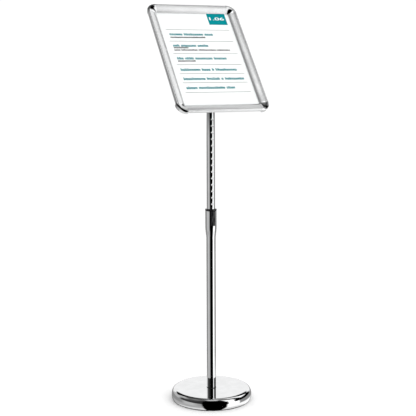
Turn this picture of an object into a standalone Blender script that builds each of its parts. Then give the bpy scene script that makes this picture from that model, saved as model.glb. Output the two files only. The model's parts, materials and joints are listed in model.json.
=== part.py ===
"""Floor-standing sign stand: a snap frame for an A3 sheet on a telescopic chrome post.

Metres, +Z up. The origin is on the floor under the post and the sign faces -Y.
The panel (snap frame, sheet and bracket) is built in its own flat space, with the tilt
axis as origin, X along the tilt axis, Y up the sheet and Z out of the sheet's face, and an
empty leans it back.
"""

import math

import bmesh
import bpy
from mathutils import Matrix, Vector

GAP = 0.0003                     # between neighbours that touch
THROUGH = 0.030                  # reach of a cutter past whatever it cuts

# Base
BASE_RADIUS = 0.140
BASE_HEIGHT = 0.0395
BASE_FLAT_RADIUS = 0.122         # where the flat top starts to roll over
BASE_WIDEST_Z = 0.014
BASE_TUCK = 0.0024               # how far the rim lies inside the widest line
BASE_ROLL_EXPONENT = 2.5         # of the rolled edge, 2 being an ellipse
COVER_WALL = 0.0012
PAD_THICKNESS = 0.003
PAD_INSET = 0.004
WEIGHT_RADIUS = 0.112
WEIGHT_THICKNESS = 0.023
WEIGHT_CHAMFER = 0.004
BASE_BOLT_RADIUS = 0.0048
BASE_BOLT_CLEARANCE = 0.0007
BASE_BOLT_TOP = 0.066
BASE_BOLT_FLATS = 0.017
BASE_BOLT_HEAD = 0.006
BASE_WASHER_RADIUS = 0.015
BASE_WASHER_THICKNESS = 0.002
FOOT_RING_INNER = 0.009
FOOT_RING_PROUD = 0.0006
FOOT_RING_THICKNESS = 0.0011

# Lower tube, with the bell round the latch
LOWER_FROM = BASE_HEIGHT + 2 * GAP + FOOT_RING_THICKNESS
LOWER_RADIUS = 0.016
LOWER_WALL = 0.001
BELL_RADIUS = 0.0195
BELL_TAPER_FROM = 0.569
BELL_TAPER_TO = 0.611
BELL_TOP = 0.6675
BELL_LIP = 0.0006                # chamfer of the mouth
INSERT_HEIGHT = 0.030

# Upper tube
UPPER_RADIUS = 0.01425
UPPER_WALL = 0.0015
UPPER_FROM = 0.546
UPPER_TO = 1.062
NOTCH_PITCH = 0.0222
NOTCH_DEPTH = 0.0012
NOTCH_RADIUS = 0.0035
NOTCH_HALF_LENGTH = 0.0065
NOTCHES_BELOW = 3                # notches under the one that is engaged
NOTCHES_ABOVE = 15
GLIDER_RADIUS = 0.0147
GLIDER_BORE = 0.010
GLIDER_INSIDE = 0.016            # how far the glider reaches into the tube
GLIDER_BELOW = 0.006

# Guide sleeve, rocker and its spring
SLEEVE_LOW = 0.613
SLEEVE_INNER = UPPER_RADIUS + 0.00025
SLEEVE_OUTER = BELL_RADIUS - LOWER_WALL - GAP
RIM_LOW = BELL_TOP + GAP
RIM_HIGH = 0.6733
RIM_RADIUS = BELL_RADIUS + 0.0003
RIM_CHAMFER = 0.0008
POCKET_FLOOR_Y = -0.0151
LATCH_Z = 0.6466                 # height of the engaged notch
BUTTON_HALF_WIDTH = 0.008
BUTTON_LOW = 0.617
BUTTON_HIGH = 0.6668
BUTTON_RADIUS = BELL_RADIUS + 0.0022     # its face stands just proud of the bell
BUTTON_BACK_Y = -0.0172
BUTTON_SIDE_GAP = 0.0004
BUTTON_END_GAP = 0.0009
ROCKER_Y = -0.0146
ROCKER_Z = 0.634
ROCKER_HALF_WIDTH = 0.0100       # over the trunnions, with their clearance
ARM_X = 0.0074
ARM_HALF_WIDTH = 0.0006
ARM_HALF_HEIGHT = 0.0022
ARM_FRONT_Y = -0.0180
ARM_BACK_Y = -0.0134
ARM_CLEARANCE = 0.0004
TRUNNION_RADIUS = 0.0010
TRUNNION_FROM = 0.0070
TRUNNION_TO = 0.0096
TOOTH_HALF_WIDTH = 0.004
TOOTH_CLEARANCE = 0.0008
TOOTH_NECK_BACK_Y = -0.0160
TOOTH_NECK_HALF_HEIGHT = 0.0028
SPRING_Z = 0.6235
SPRING_HALF_LENGTH = 0.0055
SPRING_FOOT_R = 0.0153
SPRING_RISE = 0.0013
SPRING_WIDTH = 0.006
SPRING_LEAF = 0.0003

# Head and tilt joint
PIVOT_Z = 1.087
HEAD_FLANGE = 0.003
HEAD_PLUG = 0.036                # length of the plug in the tube
HEAD_PIN_RADIUS = 0.0025
HEAD_PIN_BELOW = 0.018           # under the tube's upper end
EYE_HALF = 0.005
EYE_RADIUS = 0.012
TILT_BOLT_RADIUS = 0.004
TILT_BOLT_FLATS = 0.013
TILT_BOLT_HEAD = 0.005
CHEEK_INNER = 0.007
CHEEK_WALL = 0.003
CHEEK_OUTER = CHEEK_INNER + CHEEK_WALL
CHEEK_LOW_Y = -0.018
CHEEK_HIGH_Y = 0.030
FRICTION_WASHER_RADIUS = 0.011
FRICTION_WASHER_THICKNESS = 0.0014
KNOB_WASHER_RADIUS = 0.008
KNOB_WASHER_THICKNESS = 0.0016
KNOB_FROM = CHEEK_OUTER + 0.0026
KNOB_THICKNESS = 0.016
KNOB_GRIP = 0.010                # thickness of the lobed part
KNOB_RADIUS = 0.0155
KNOB_LOBES = 5
KNOB_LOBE_HEIGHT = 0.0020
KNOB_HUB_RADIUS = 0.0095
KNOB_FACE_WALL = 0.0035          # left over the end of the bolt

# Panel
LEAN = math.radians(39.0)        # from vertical, top edge away from the reader
VISIBLE_WIDTH = 0.271
VISIBLE_HEIGHT = 0.394
SHEET_WIDTH = 0.297
SHEET_HEIGHT = 0.420
PANEL_CENTRE_Y = 0.094           # sheet centre above the tilt axis, along the sheet
SHEET_Z = 0.040                  # sheet face in front of the tilt axis
COVER_THICKNESS = 0.0006
POSTER_THICKNESS = 0.0004
BOARD_THICKNESS = 0.0025

# Rail sections are (q, n): q inwards from the frame's outer edge, n out of the sheet's face.
RAIL_WIDTH = 0.0325
RAIL_WALL = 0.0015
RAIL_BACK_N = -0.009
FACE_OUTER_N = 0.0145            # where the clamp's sloping face meets q = 0
FACE_INNER_N = 0.0018            # and where it meets q = RAIL_WIDTH
FACE_SLOPE = (FACE_INNER_N - FACE_OUTER_N) / RAIL_WIDTH
FACE_ANGLE = 90 + math.degrees(math.atan(FACE_SLOPE))
SHOULDER_RADIUS = 0.0065         # of the clamp's outer edge
LIP_RADIUS = 0.003               # of the clamp's inner edge, which rests on the sheet
CLAMP_FOOT_ANGLE = 220           # where the outer edge meets the hinge bead
CLAMP_INNER_FOOT_ANGLE = 216
HINGE_Q = 0.0029
HINGE_N = 0.0004
BEAD_RADIUS = 0.0013
CUP_RADIUS = BEAD_RADIUS + GAP
BASE_WALL = 0.0014
SHELF_N = -0.0044
SHELF_END_Q = 0.0305
STOP_Q = 0.0164                  # outer side of the rib that centres the board
STOP_TOP_N = -0.0008
CHANNEL_Q = 0.0090               # where the slanting outer side meets the back
CLIP_LENGTH = 0.030
CLIP_LEAF = 0.0005
CLIP_SHARE = 0.27                # place of each leaf spring, as a share of the rail

# Corners
CORNER_RADIUS = 0.0355
CAP_PROUD = 0.0006
CAP_WALL = 0.0017
CAP_BACK_N = -0.005
CAP_FOOT_Q = 0.001
CAP_LIP_LIFT = 0.0002            # of the cap over the clamp's lip
CONNECTOR_THICKNESS = 0.002
CONNECTOR_NEAR = 0.010
CONNECTOR_FAR = 0.0158
CONNECTOR_REACH = 0.026          # past the corner's curve, into each rail

# Bracket behind the panel
PLATE_THICKNESS = 0.003
PLATE_FRONT = SHEET_Z - 0.0044
PLATE_BACK = PLATE_FRONT - PLATE_THICKNESS
PLATE_HALF_WIDTH = 0.050
PLATE_LOW = -0.035
PLATE_HIGH = 0.075
BLEND = 0.001                    # overlap where joined shapes run into each other
SCREW_X = 0.036
SCREW_Y = (-0.022, 0.062)
SCREW_RADIUS = 0.0021
SCREW_HEAD_RADIUS = 0.0044
SCREW_HEAD_FRONT = SHEET_Z - 0.0017
SCREW_HEAD_HEIGHT = 0.0024
NUT_FLATS = 0.008
NUT_HEIGHT = 0.004
BOARD_SINK_DEPTH = 0.0022

OUTER_WIDTH = VISIBLE_WIDTH + 2 * RAIL_WIDTH
OUTER_HEIGHT = VISIBLE_HEIGHT + 2 * RAIL_WIDTH
SIDES = ("top", "bottom", "left", "right")
SCREWS = [(x, y) for x in (-SCREW_X, SCREW_X) for y in SCREW_Y]

PARTS = bpy.data.collections.new("sign_stand")
CUTTERS = bpy.data.collections.new("cutters")


# ---------------------------------------------------------------- scene and helpers

def clear_scene():
    for obj in list(bpy.data.objects):
        bpy.data.objects.remove(obj, do_unlink=True)
    bpy.context.scene.collection.children.link(PARTS)
    bpy.context.scene.collection.children.link(CUTTERS)


def make_material(name, colour, roughness, metallic=0.0):
    material = bpy.data.materials.new(name)
    material.use_nodes = True
    shader = material.node_tree.nodes["Principled BSDF"]
    shader.inputs["Base Color"].default_value = (*colour, 1.0)
    shader.inputs["Roughness"].default_value = roughness
    shader.inputs["Metallic"].default_value = metallic
    return material


def make_materials():
    return {
        "chrome": make_material("chrome", (0.82, 0.83, 0.84), 0.06, 1.0),
        "satin_aluminium": make_material("satin_aluminium", (0.74, 0.75, 0.76), 0.32, 1.0),
        "cast_iron": make_material("cast_iron", (0.09, 0.09, 0.09), 0.7, 0.6),
        "zinc_steel": make_material("zinc_steel", (0.62, 0.63, 0.64), 0.35, 1.0),
        "spring_steel": make_material("spring_steel", (0.36, 0.37, 0.39), 0.3, 1.0),
        "black_plastic": make_material("black_plastic", (0.025, 0.025, 0.027), 0.4),
        "black_paint": make_material("black_paint", (0.03, 0.03, 0.032), 0.45, 0.2),
        "rubber": make_material("rubber", (0.03, 0.03, 0.03), 0.85),
        "nylon": make_material("nylon", (0.80, 0.80, 0.76), 0.5),
        "back_board": make_material("back_board", (0.16, 0.165, 0.17), 0.55),
        "paper": make_material("paper", (0.93, 0.93, 0.93), 0.8),
        "clear_sheet": make_material("clear_sheet", (0.95, 0.96, 0.96), 0.15),
    }


def place(obj, material):
    """Gives a new object its material, and smooth shading where it is a mesh."""
    obj.data.materials.clear()
    obj.data.materials.append(material)
    if obj.type == "MESH":
        obj.data.shade_smooth()
        obj.data.set_sharp_from_angle(angle=math.radians(35))
    return obj


def mesh_object(name, build):
    """An object whose mesh the function build fills through bmesh."""
    mesh = bpy.data.meshes.new(name)
    bm = bmesh.new()
    build(bm)
    bmesh.ops.recalc_face_normals(bm, faces=bm.faces)
    bm.to_mesh(mesh)
    bm.free()
    obj = bpy.data.objects.new(name, mesh)
    PARTS.objects.link(obj)
    return obj


def box(name, low, high):
    """An axis-aligned block between two corners."""
    low, high = Vector(low), Vector(high)
    size = Matrix.Diagonal((*(high - low), 1.0))
    matrix = Matrix.Translation((low + high) / 2) @ size
    return mesh_object(name, lambda bm: bmesh.ops.create_cube(bm, size=1.0, matrix=matrix))


def rod(name, radius, start, end, sides=32, end_radius=None):
    """A cylinder, or a cone where end_radius is given, between two points."""
    start, end = Vector(start), Vector(end)
    turn = (end - start).to_track_quat("Z", "Y").to_matrix().to_4x4()
    matrix = Matrix.Translation((start + end) / 2) @ turn

    def build(bm):
        bmesh.ops.create_cone(
            bm, cap_ends=True, segments=sides, radius1=radius,
            radius2=radius if end_radius is None else end_radius,
            depth=(end - start).length, matrix=matrix)

    return mesh_object(name, build)


def cross_rod(name, radius, half, y, z, sides=16):
    """A cylinder along X, as long each side of the post's middle."""
    return rod(name, radius, (-half, y, z), (half, y, z), sides)


def hexagon(name, across_flats, start, end):
    return rod(name, across_flats / math.sqrt(3), start, end, sides=6)


def turned(name, profile, steps=48):
    """A closed profile of (radius, height), down its outer side first, turned about Z."""
    mesh = bpy.data.meshes.new(name)
    count = len(profile)
    edges = [(i, (i + 1) % count) for i in range(count)]
    mesh.from_pydata([(r, 0.0, z) for r, z in profile], edges, [])
    obj = bpy.data.objects.new(name, mesh)
    PARTS.objects.link(obj)
    screw = obj.modifiers.new("Turn", "SCREW")
    screw.steps = steps
    screw.render_steps = steps
    screw.use_merge_vertices = True
    screw.merge_threshold = 0.00001
    return obj


def ring(name, inner, outer, low, high, steps=48):
    return turned(name, [(outer, high), (outer, low), (inner, low), (inner, high)], steps)


def extruded(name, points, thickness):
    """A flat outline in local XY, extruded by its thickness about its own plane."""
    curve = bpy.data.curves.new(name, "CURVE")
    curve.dimensions = "2D"
    curve.fill_mode = "BOTH"
    curve.extrude = thickness / 2
    spline = curve.splines.new("POLY")
    spline.points.add(len(points) - 1)
    for point, (x, y) in zip(spline.points, points):
        point.co = (x, y, 0.0, 1.0)
    spline.use_cyclic_u = True
    obj = bpy.data.objects.new(name, curve)
    PARTS.objects.link(obj)
    return obj


def to_mesh_object(obj):
    """Replaces a curve object by a mesh object of the same name and place."""
    bpy.context.view_layer.update()
    graph = bpy.context.evaluated_depsgraph_get()
    mesh = bpy.data.meshes.new_from_object(obj.evaluated_get(graph))
    bm = bmesh.new()
    bm.from_mesh(mesh)
    bmesh.ops.remove_doubles(bm, verts=bm.verts, dist=0.00001)
    bmesh.ops.recalc_face_normals(bm, faces=bm.faces)
    bm.to_mesh(mesh)
    bm.free()
    name = obj.name
    matrix = obj.matrix_world.copy()
    bpy.data.objects.remove(obj, do_unlink=True)
    solid = bpy.data.objects.new(name, mesh)
    mesh.name = name
    PARTS.objects.link(solid)
    solid.matrix_world = matrix
    return solid


def boolean(target, tool, operation):
    """Cuts or joins with a hidden tool object, which moves to the cutters' collection."""
    PARTS.objects.unlink(tool)
    CUTTERS.objects.link(tool)
    tool.hide_render = True
    tool.display_type = "WIRE"
    modifier = target.modifiers.new(operation.title(), "BOOLEAN")
    modifier.operation = operation
    modifier.solver = "EXACT"
    modifier.object = tool


def cut(target, *tools):
    for tool in tools:
        boolean(target, tool, "DIFFERENCE")


def join(target, *tools):
    for tool in tools:
        boolean(target, tool, "UNION")


def arc(centre, radii, start, end, count):
    """Points on an ellipse's arc, angles in degrees, both ends included."""
    points = []
    for i in range(count):
        angle = math.radians(start + (end - start) * i / (count - 1))
        points.append((centre[0] + radii[0] * math.cos(angle),
                       centre[1] + radii[1] * math.sin(angle)))
    return points


def along_x(x):
    """A turn that lays a shape built about Z along the tilt axis, at this x."""
    return Matrix.Translation((x, 0, 0)) @ Matrix.Rotation(math.radians(90), 4, "Y")


def attach(parent, obj):
    """Hangs an object, and the tools that cut it, on the parent without moving it there."""
    tools = [modifier.object for modifier in obj.modifiers if modifier.type == "BOOLEAN"]
    for item in (obj, *tools):
        local = item.matrix_world.copy()
        item.parent = parent
        item.matrix_parent_inverse = Matrix.Identity(4)
        item.matrix_basis = local


# ---------------------------------------------------------------- base

def cover_outer(inset, count=8):
    """The base cover's outer side from the flat top to the rim, moved inwards by inset."""
    points = []
    for i in range(count):
        angle = math.radians(90 * i / (count - 1))
        across = math.sin(angle) ** (2 / BASE_ROLL_EXPONENT)
        down = math.cos(angle) ** (2 / BASE_ROLL_EXPONENT)
        points.append((BASE_FLAT_RADIUS + (BASE_RADIUS - BASE_FLAT_RADIUS - inset) * across,
                       BASE_WIDEST_Z + (BASE_HEIGHT - BASE_WIDEST_Z - inset) * down))
    rim_low = PAD_THICKNESS + GAP
    for share in (0.5, 1.0):
        points.append((BASE_RADIUS - inset - BASE_TUCK * share * share,
                       BASE_WIDEST_Z + (rim_low - BASE_WIDEST_Z) * share))
    return points


def make_base(mats):
    place(rod("base_pad", BASE_RADIUS - PAD_INSET, (0, 0, 0), (0, 0, PAD_THICKNESS), 48),
          mats["rubber"])
    hole = BASE_BOLT_RADIUS + BASE_BOLT_CLEARANCE
    outside = [(hole, BASE_HEIGHT)] + cover_outer(0.0)
    inside = [(hole, BASE_HEIGHT - COVER_WALL)] + cover_outer(COVER_WALL)
    place(turned("base_cover", outside + inside[::-1], 48), mats["chrome"])

    weight_top = BASE_HEIGHT - COVER_WALL - GAP
    weight_low = weight_top - WEIGHT_THICKNESS
    place(turned("base_weight", [
        (hole, weight_top), (WEIGHT_RADIUS - WEIGHT_CHAMFER, weight_top),
        (WEIGHT_RADIUS, weight_top - WEIGHT_CHAMFER),
        (WEIGHT_RADIUS, weight_low + WEIGHT_CHAMFER),
        (WEIGHT_RADIUS - WEIGHT_CHAMFER, weight_low), (hole, weight_low)], 32),
        mats["cast_iron"])

    washer_top = weight_low - GAP
    washer_low = washer_top - BASE_WASHER_THICKNESS
    place(ring("base_washer", hole, BASE_WASHER_RADIUS, washer_low, washer_top, 20),
          mats["zinc_steel"])

    head_top = washer_low - GAP
    head_low = head_top - BASE_BOLT_HEAD
    bolt = rod("base_bolt", BASE_BOLT_RADIUS, (0, 0, (head_low + head_top) / 2),
               (0, 0, BASE_BOLT_TOP), 16)
    join(bolt, hexagon("base_bolt_head", BASE_BOLT_FLATS, (0, 0, head_low), (0, 0, head_top)))
    place(bolt, mats["zinc_steel"])

    ring_low = BASE_HEIGHT + GAP
    place(ring("foot_ring", FOOT_RING_INNER, LOWER_RADIUS + FOOT_RING_PROUD, ring_low,
               ring_low + FOOT_RING_THICKNESS, 24), mats["rubber"])


# ---------------------------------------------------------------- post

def make_lower_tube(mats):
    """One chromed tube whose upper end is swaged out into a bell with a slot for the button."""
    steps = 6
    outside = []
    for i in range(steps + 1):
        share = i / steps
        ease = share * share * (3 - 2 * share)
        outside.append((BELL_RADIUS + (LOWER_RADIUS - BELL_RADIUS) * ease,
                        BELL_TAPER_TO + (BELL_TAPER_FROM - BELL_TAPER_TO) * share))
    outside.append((LOWER_RADIUS, LOWER_FROM))
    inside = [(r - LOWER_WALL, z) for r, z in outside]
    mouth = [(BELL_RADIUS - LOWER_WALL, BELL_TOP), (BELL_RADIUS - BELL_LIP, BELL_TOP),
             (BELL_RADIUS, BELL_TOP - BELL_LIP)]
    tube = turned("lower_tube", mouth + outside + inside[::-1], 36)
    half = BUTTON_HALF_WIDTH + BUTTON_SIDE_GAP
    cut(tube, box("latch_slot", (-half, -THROUGH, BUTTON_LOW - BUTTON_END_GAP),
                  (half, -LOWER_RADIUS / 2, BELL_TOP + THROUGH)))
    place(tube, mats["chrome"])

    insert = ring("tube_insert", BASE_BOLT_RADIUS + GAP, LOWER_RADIUS - LOWER_WALL - GAP,
                  LOWER_FROM, LOWER_FROM + INSERT_HEIGHT, 20)
    place(insert, mats["zinc_steel"])


def make_guide_sleeve(mats):
    """The plastic bush in the bell that guides the upper tube and holds the rocker."""
    sleeve = turned("guide_sleeve", [
        (RIM_RADIUS - RIM_CHAMFER, RIM_HIGH), (RIM_RADIUS, RIM_HIGH - RIM_CHAMFER),
        (RIM_RADIUS, RIM_LOW), (SLEEVE_OUTER, RIM_LOW), (SLEEVE_OUTER, SLEEVE_LOW),
        (SLEEVE_INNER, SLEEVE_LOW), (SLEEVE_INNER, RIM_HIGH)], 36)
    half = BUTTON_HALF_WIDTH + BUTTON_SIDE_GAP
    pocket = box("rocker_pocket", (-half, -THROUGH, SLEEVE_LOW - THROUGH),
                 (half, POCKET_FLOOR_Y, BELL_TOP))
    slot_half_width = ARM_HALF_WIDTH + ARM_CLEARANCE
    slot_half_height = ARM_HALF_HEIGHT + 2 * ARM_CLEARANCE
    slots = []
    for x in (-ARM_X, ARM_X):
        slots.append(box(f"arm_slot_{x:+.4f}",
                         (x - slot_half_width, -UPPER_RADIUS - 0.002, ROCKER_Z - slot_half_height),
                         (x + slot_half_width, -UPPER_RADIUS / 2, ROCKER_Z + slot_half_height)))
    tooth_half_height = NOTCH_RADIUS + TOOTH_CLEARANCE
    tooth_slot = box("tooth_slot",
                     (-TOOTH_HALF_WIDTH - TOOTH_CLEARANCE, -UPPER_RADIUS - 0.002,
                      LATCH_Z - tooth_half_height),
                     (TOOTH_HALF_WIDTH + TOOTH_CLEARANCE, -UPPER_RADIUS / 2,
                      LATCH_Z + tooth_half_height))
    bores = cross_rod("trunnion_bore", TRUNNION_RADIUS + GAP, ROCKER_HALF_WIDTH, ROCKER_Y, ROCKER_Z)
    cut(sleeve, pocket, tooth_slot, bores, *slots)
    place(sleeve, mats["black_plastic"])


def notch_axis_y():
    return -(UPPER_RADIUS + NOTCH_RADIUS - NOTCH_DEPTH)


def make_latch(mats):
    """A rocker: pressing its lower end lifts the tooth at its upper end out of the notch."""
    button = rod("latch_button", BUTTON_RADIUS, (0, 0, BUTTON_LOW), (0, 0, BUTTON_HIGH), 48)
    trim = box("button_trim", (-BUTTON_HALF_WIDTH, -THROUGH, BUTTON_LOW - THROUGH),
               (BUTTON_HALF_WIDTH, BUTTON_BACK_Y, BUTTON_HIGH + THROUGH))
    boolean(button, trim, "INTERSECT")
    arms = []
    for x in (-ARM_X, ARM_X):
        arms.append(box(f"rocker_arm_{x:+.4f}",
                        (x - ARM_HALF_WIDTH, ARM_FRONT_Y, ROCKER_Z - ARM_HALF_HEIGHT),
                        (x + ARM_HALF_WIDTH, ARM_BACK_Y, ROCKER_Z + ARM_HALF_HEIGHT)))
    stubs = []
    for side in (-1, 1):
        stubs.append(rod(f"trunnion_{side:+d}", TRUNNION_RADIUS,
                         (side * TRUNNION_FROM, ROCKER_Y, ROCKER_Z),
                         (side * TRUNNION_TO, ROCKER_Y, ROCKER_Z), 16))
    tooth = cross_rod("latch_tooth", NOTCH_RADIUS - GAP, TOOTH_HALF_WIDTH, notch_axis_y(),
                      LATCH_Z, 24)
    neck = box("tooth_neck",
               (-TOOTH_HALF_WIDTH, ARM_FRONT_Y, LATCH_Z - TOOTH_NECK_HALF_HEIGHT),
               (TOOTH_HALF_WIDTH, TOOTH_NECK_BACK_Y, LATCH_Z + TOOTH_NECK_HALF_HEIGHT))
    join(button, tooth, neck, *arms, *stubs)
    place(button, mats["black_plastic"])

    bow = arc((SPRING_Z, SPRING_FOOT_R), (SPRING_HALF_LENGTH, SPRING_RISE), 180, 0, 9)
    strip = bow + [(z, r + SPRING_LEAF) for z, r in bow[::-1]]
    spring = extruded("button_spring", strip, SPRING_WIDTH)
    # Outline X runs up the post and outline Y out of it, towards -Y.
    spring.matrix_world = Matrix(((0, 0, 1, 0), (0, -1, 0, 0), (1, 0, 0, 0), (0, 0, 0, 1)))
    place(spring, mats["spring_steel"])


def make_upper_post(mats):
    tube = ring("upper_tube", UPPER_RADIUS - UPPER_WALL, UPPER_RADIUS, UPPER_FROM, UPPER_TO, 36)
    lowest = LATCH_Z - NOTCHES_BELOW * NOTCH_PITCH
    notch = cross_rod("notch_cutter", NOTCH_RADIUS, NOTCH_HALF_LENGTH, notch_axis_y(), lowest)
    row = notch.modifiers.new("Row", "ARRAY")
    row.count = NOTCHES_BELOW + NOTCHES_ABOVE + 1
    row.use_relative_offset = False
    row.use_constant_offset = True
    row.constant_offset_displace = (0.0, 0.0, NOTCH_PITCH)
    pin_z = UPPER_TO - HEAD_PIN_BELOW
    pin_hole = cross_rod("head_pin_hole", HEAD_PIN_RADIUS + GAP, THROUGH, 0, pin_z)
    cut(tube, notch, pin_hole)
    place(tube, mats["chrome"])

    plug_radius = UPPER_RADIUS - UPPER_WALL - GAP
    place(turned("tube_glider", [
        (plug_radius, UPPER_FROM + GLIDER_INSIDE), (plug_radius, UPPER_FROM - GAP),
        (GLIDER_RADIUS, UPPER_FROM - GAP), (GLIDER_RADIUS, UPPER_FROM - GLIDER_BELOW),
        (GLIDER_BORE, UPPER_FROM - GLIDER_BELOW), (GLIDER_BORE, UPPER_FROM + GLIDER_INSIDE)], 24),
        mats["nylon"])

    flange_low = UPPER_TO + GAP
    head = rod("post_head", UPPER_RADIUS, (0, 0, flange_low),
               (0, 0, flange_low + HEAD_FLANGE), 36)
    plug = rod("head_plug", plug_radius, (0, 0, UPPER_TO - HEAD_PLUG),
               (0, 0, flange_low + BLEND), 24)
    eye = cross_rod("eye_disc", EYE_RADIUS, EYE_HALF, 0, PIVOT_Z, 28)
    stem = box("eye_stem", (-EYE_HALF, -EYE_RADIUS + BLEND, flange_low + BLEND),
               (EYE_HALF, EYE_RADIUS - BLEND, PIVOT_Z))
    join(head, plug, eye, stem)
    cut(head, cross_rod("eye_bore", TILT_BOLT_RADIUS + GAP, THROUGH, 0, PIVOT_Z, 24),
        cross_rod("head_pin_bore", HEAD_PIN_RADIUS + GAP, THROUGH, 0, pin_z))
    place(head, mats["zinc_steel"])
    place(cross_rod("head_pin", HEAD_PIN_RADIUS, UPPER_RADIUS - GAP, 0, pin_z),
          mats["zinc_steel"])


# ---------------------------------------------------------------- tilt joint

def make_bracket(mats, panel):
    plate = box("tilt_bracket", (-PLATE_HALF_WIDTH, PLATE_LOW, PLATE_BACK),
                (PLATE_HALF_WIDTH, PLATE_HIGH, PLATE_FRONT))
    # Outline X is the panel's Z and outline Y its Y, so that the plane stands on the plate.
    outline = arc((0, 0), (EYE_RADIUS, EYE_RADIUS), 90, 270, 11)
    outline += [(PLATE_BACK + BLEND, CHEEK_LOW_Y), (PLATE_BACK + BLEND, CHEEK_HIGH_Y)]
    for side in (-1, 1):
        cheek = extruded(f"cheek_{side:+d}", outline, CHEEK_WALL)
        middle = side * (CHEEK_INNER + CHEEK_WALL / 2)
        cheek.matrix_world = Matrix(((0, 0, -1, middle), (0, 1, 0, 0), (1, 0, 0, 0), (0, 0, 0, 1)))
        join(plate, to_mesh_object(cheek))
    nut_back = PLATE_BACK - NUT_HEIGHT
    for number, (x, y) in enumerate(SCREWS, 1):
        join(plate, hexagon(f"weld_nut_{number}", NUT_FLATS, (x, y, nut_back),
                            (x, y, PLATE_BACK + BLEND)))
    for number, (x, y) in enumerate(SCREWS, 1):
        cut(plate, rod(f"nut_bore_{number}", SCREW_RADIUS + GAP, (x, y, nut_back - BLEND),
                       (x, y, PLATE_FRONT + BLEND), 12))
    cut(plate, cross_rod("cheek_bore", TILT_BOLT_RADIUS + GAP, THROUGH, 0, 0, 24))
    place(plate, mats["black_paint"])
    attach(panel, plate)

    for number, (x, y) in enumerate(SCREWS, 1):
        screw = rod(f"bracket_screw_{number}", SCREW_RADIUS, (x, y, nut_back - BLEND),
                    (x, y, SCREW_HEAD_FRONT - BLEND), 12)
        join(screw, rod(f"screw_head_{number}", SCREW_RADIUS,
                        (x, y, SCREW_HEAD_FRONT - SCREW_HEAD_HEIGHT),
                        (x, y, SCREW_HEAD_FRONT), 12, end_radius=SCREW_HEAD_RADIUS))
        place(screw, mats["zinc_steel"])
        attach(panel, screw)


def washer_on_bolt(name, radius, thickness, x, material, panel):
    washer = ring(name, TILT_BOLT_RADIUS + GAP, radius, -thickness / 2, thickness / 2, 20)
    washer.matrix_world = along_x(x)
    place(washer, material)
    attach(panel, washer)


def make_tilt_clamp(mats, panel):
    middle = (EYE_HALF + CHEEK_INNER) / 2
    for side, name in ((-1, "friction_washer_left"), (1, "friction_washer_right")):
        washer_on_bolt(name, FRICTION_WASHER_RADIUS, FRICTION_WASHER_THICKNESS, side * middle,
                       mats["nylon"], panel)
    washer_on_bolt("knob_washer", KNOB_WASHER_RADIUS, KNOB_WASHER_THICKNESS,
                   CHEEK_OUTER + GAP + KNOB_WASHER_THICKNESS / 2, mats["zinc_steel"], panel)

    head_face = -CHEEK_OUTER - GAP
    grip_middle = KNOB_FROM + KNOB_THICKNESS - KNOB_GRIP / 2
    bolt = rod("tilt_bolt", TILT_BOLT_RADIUS, (head_face - TILT_BOLT_HEAD / 2, 0, 0),
               (grip_middle, 0, 0), 24)
    join(bolt, hexagon("tilt_bolt_head", TILT_BOLT_FLATS, (head_face - TILT_BOLT_HEAD, 0, 0),
                       (head_face, 0, 0)))
    place(bolt, mats["zinc_steel"])
    attach(panel, bolt)

    steps = 10 * KNOB_LOBES
    outline = []
    for i in range(steps):
        angle = 2 * math.pi * i / steps
        radius = KNOB_RADIUS + KNOB_LOBE_HEIGHT * math.cos(KNOB_LOBES * angle)
        outline.append((radius * math.cos(angle), radius * math.sin(angle)))
    grip = extruded("tilt_knob", outline, KNOB_GRIP)
    grip.matrix_world = along_x(grip_middle)
    knob = to_mesh_object(grip)
    join(knob, rod("knob_hub", KNOB_HUB_RADIUS, (KNOB_FROM, 0, 0), (grip_middle, 0, 0), 24))
    cut(knob, rod("knob_bore", TILT_BOLT_RADIUS + GAP, (KNOB_FROM - BLEND, 0, 0),
                  (KNOB_FROM + KNOB_THICKNESS - KNOB_FACE_WALL, 0, 0), 24))
    place(knob, mats["black_plastic"])
    attach(panel, knob)


# ---------------------------------------------------------------- snap frame

def rounding_centre(q, radius):
    """Centre, at this q, of a rounding that touches the clamp's sloping face from below."""
    return (q, FACE_OUTER_N + FACE_SLOPE * q - radius * math.hypot(1, FACE_SLOPE))


SHOULDER = rounding_centre(SHOULDER_RADIUS, SHOULDER_RADIUS)
LIP = rounding_centre(RAIL_WIDTH - LIP_RADIUS, LIP_RADIUS)


def lip_arc(offset, low_n, count):
    """The inner edge moved out by offset, from its height low_n up to the sloping face."""
    radius = LIP_RADIUS + offset
    low_angle = math.degrees(math.asin((low_n - LIP[1]) / radius))
    return arc(LIP, (radius, radius), low_angle, FACE_ANGLE, count)


def shoulder_arc(offset, end_angle, count, start_angle=FACE_ANGLE):
    """The outer edge moved out by offset, from the sloping face round to end_angle."""
    radius = SHOULDER_RADIUS + offset
    return arc(SHOULDER, (radius, radius), start_angle, end_angle, count)


def clamp_section():
    """The hinged cover: an arch with a lip on the sheet and a bead at its outer foot."""
    points = lip_arc(0, GAP, 4) + shoulder_arc(0, 180, 8)
    points += shoulder_arc(0, CLAMP_FOOT_ANGLE, 4, start_angle=180)[1:]
    points += arc((HINGE_Q, HINGE_N), (BEAD_RADIUS, BEAD_RADIUS), 172, 455, 10)
    inside = lip_arc(-RAIL_WALL, GAP, 3) + shoulder_arc(-RAIL_WALL, CLAMP_INNER_FOOT_ANGLE, 8)
    return points + inside[::-1]


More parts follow.
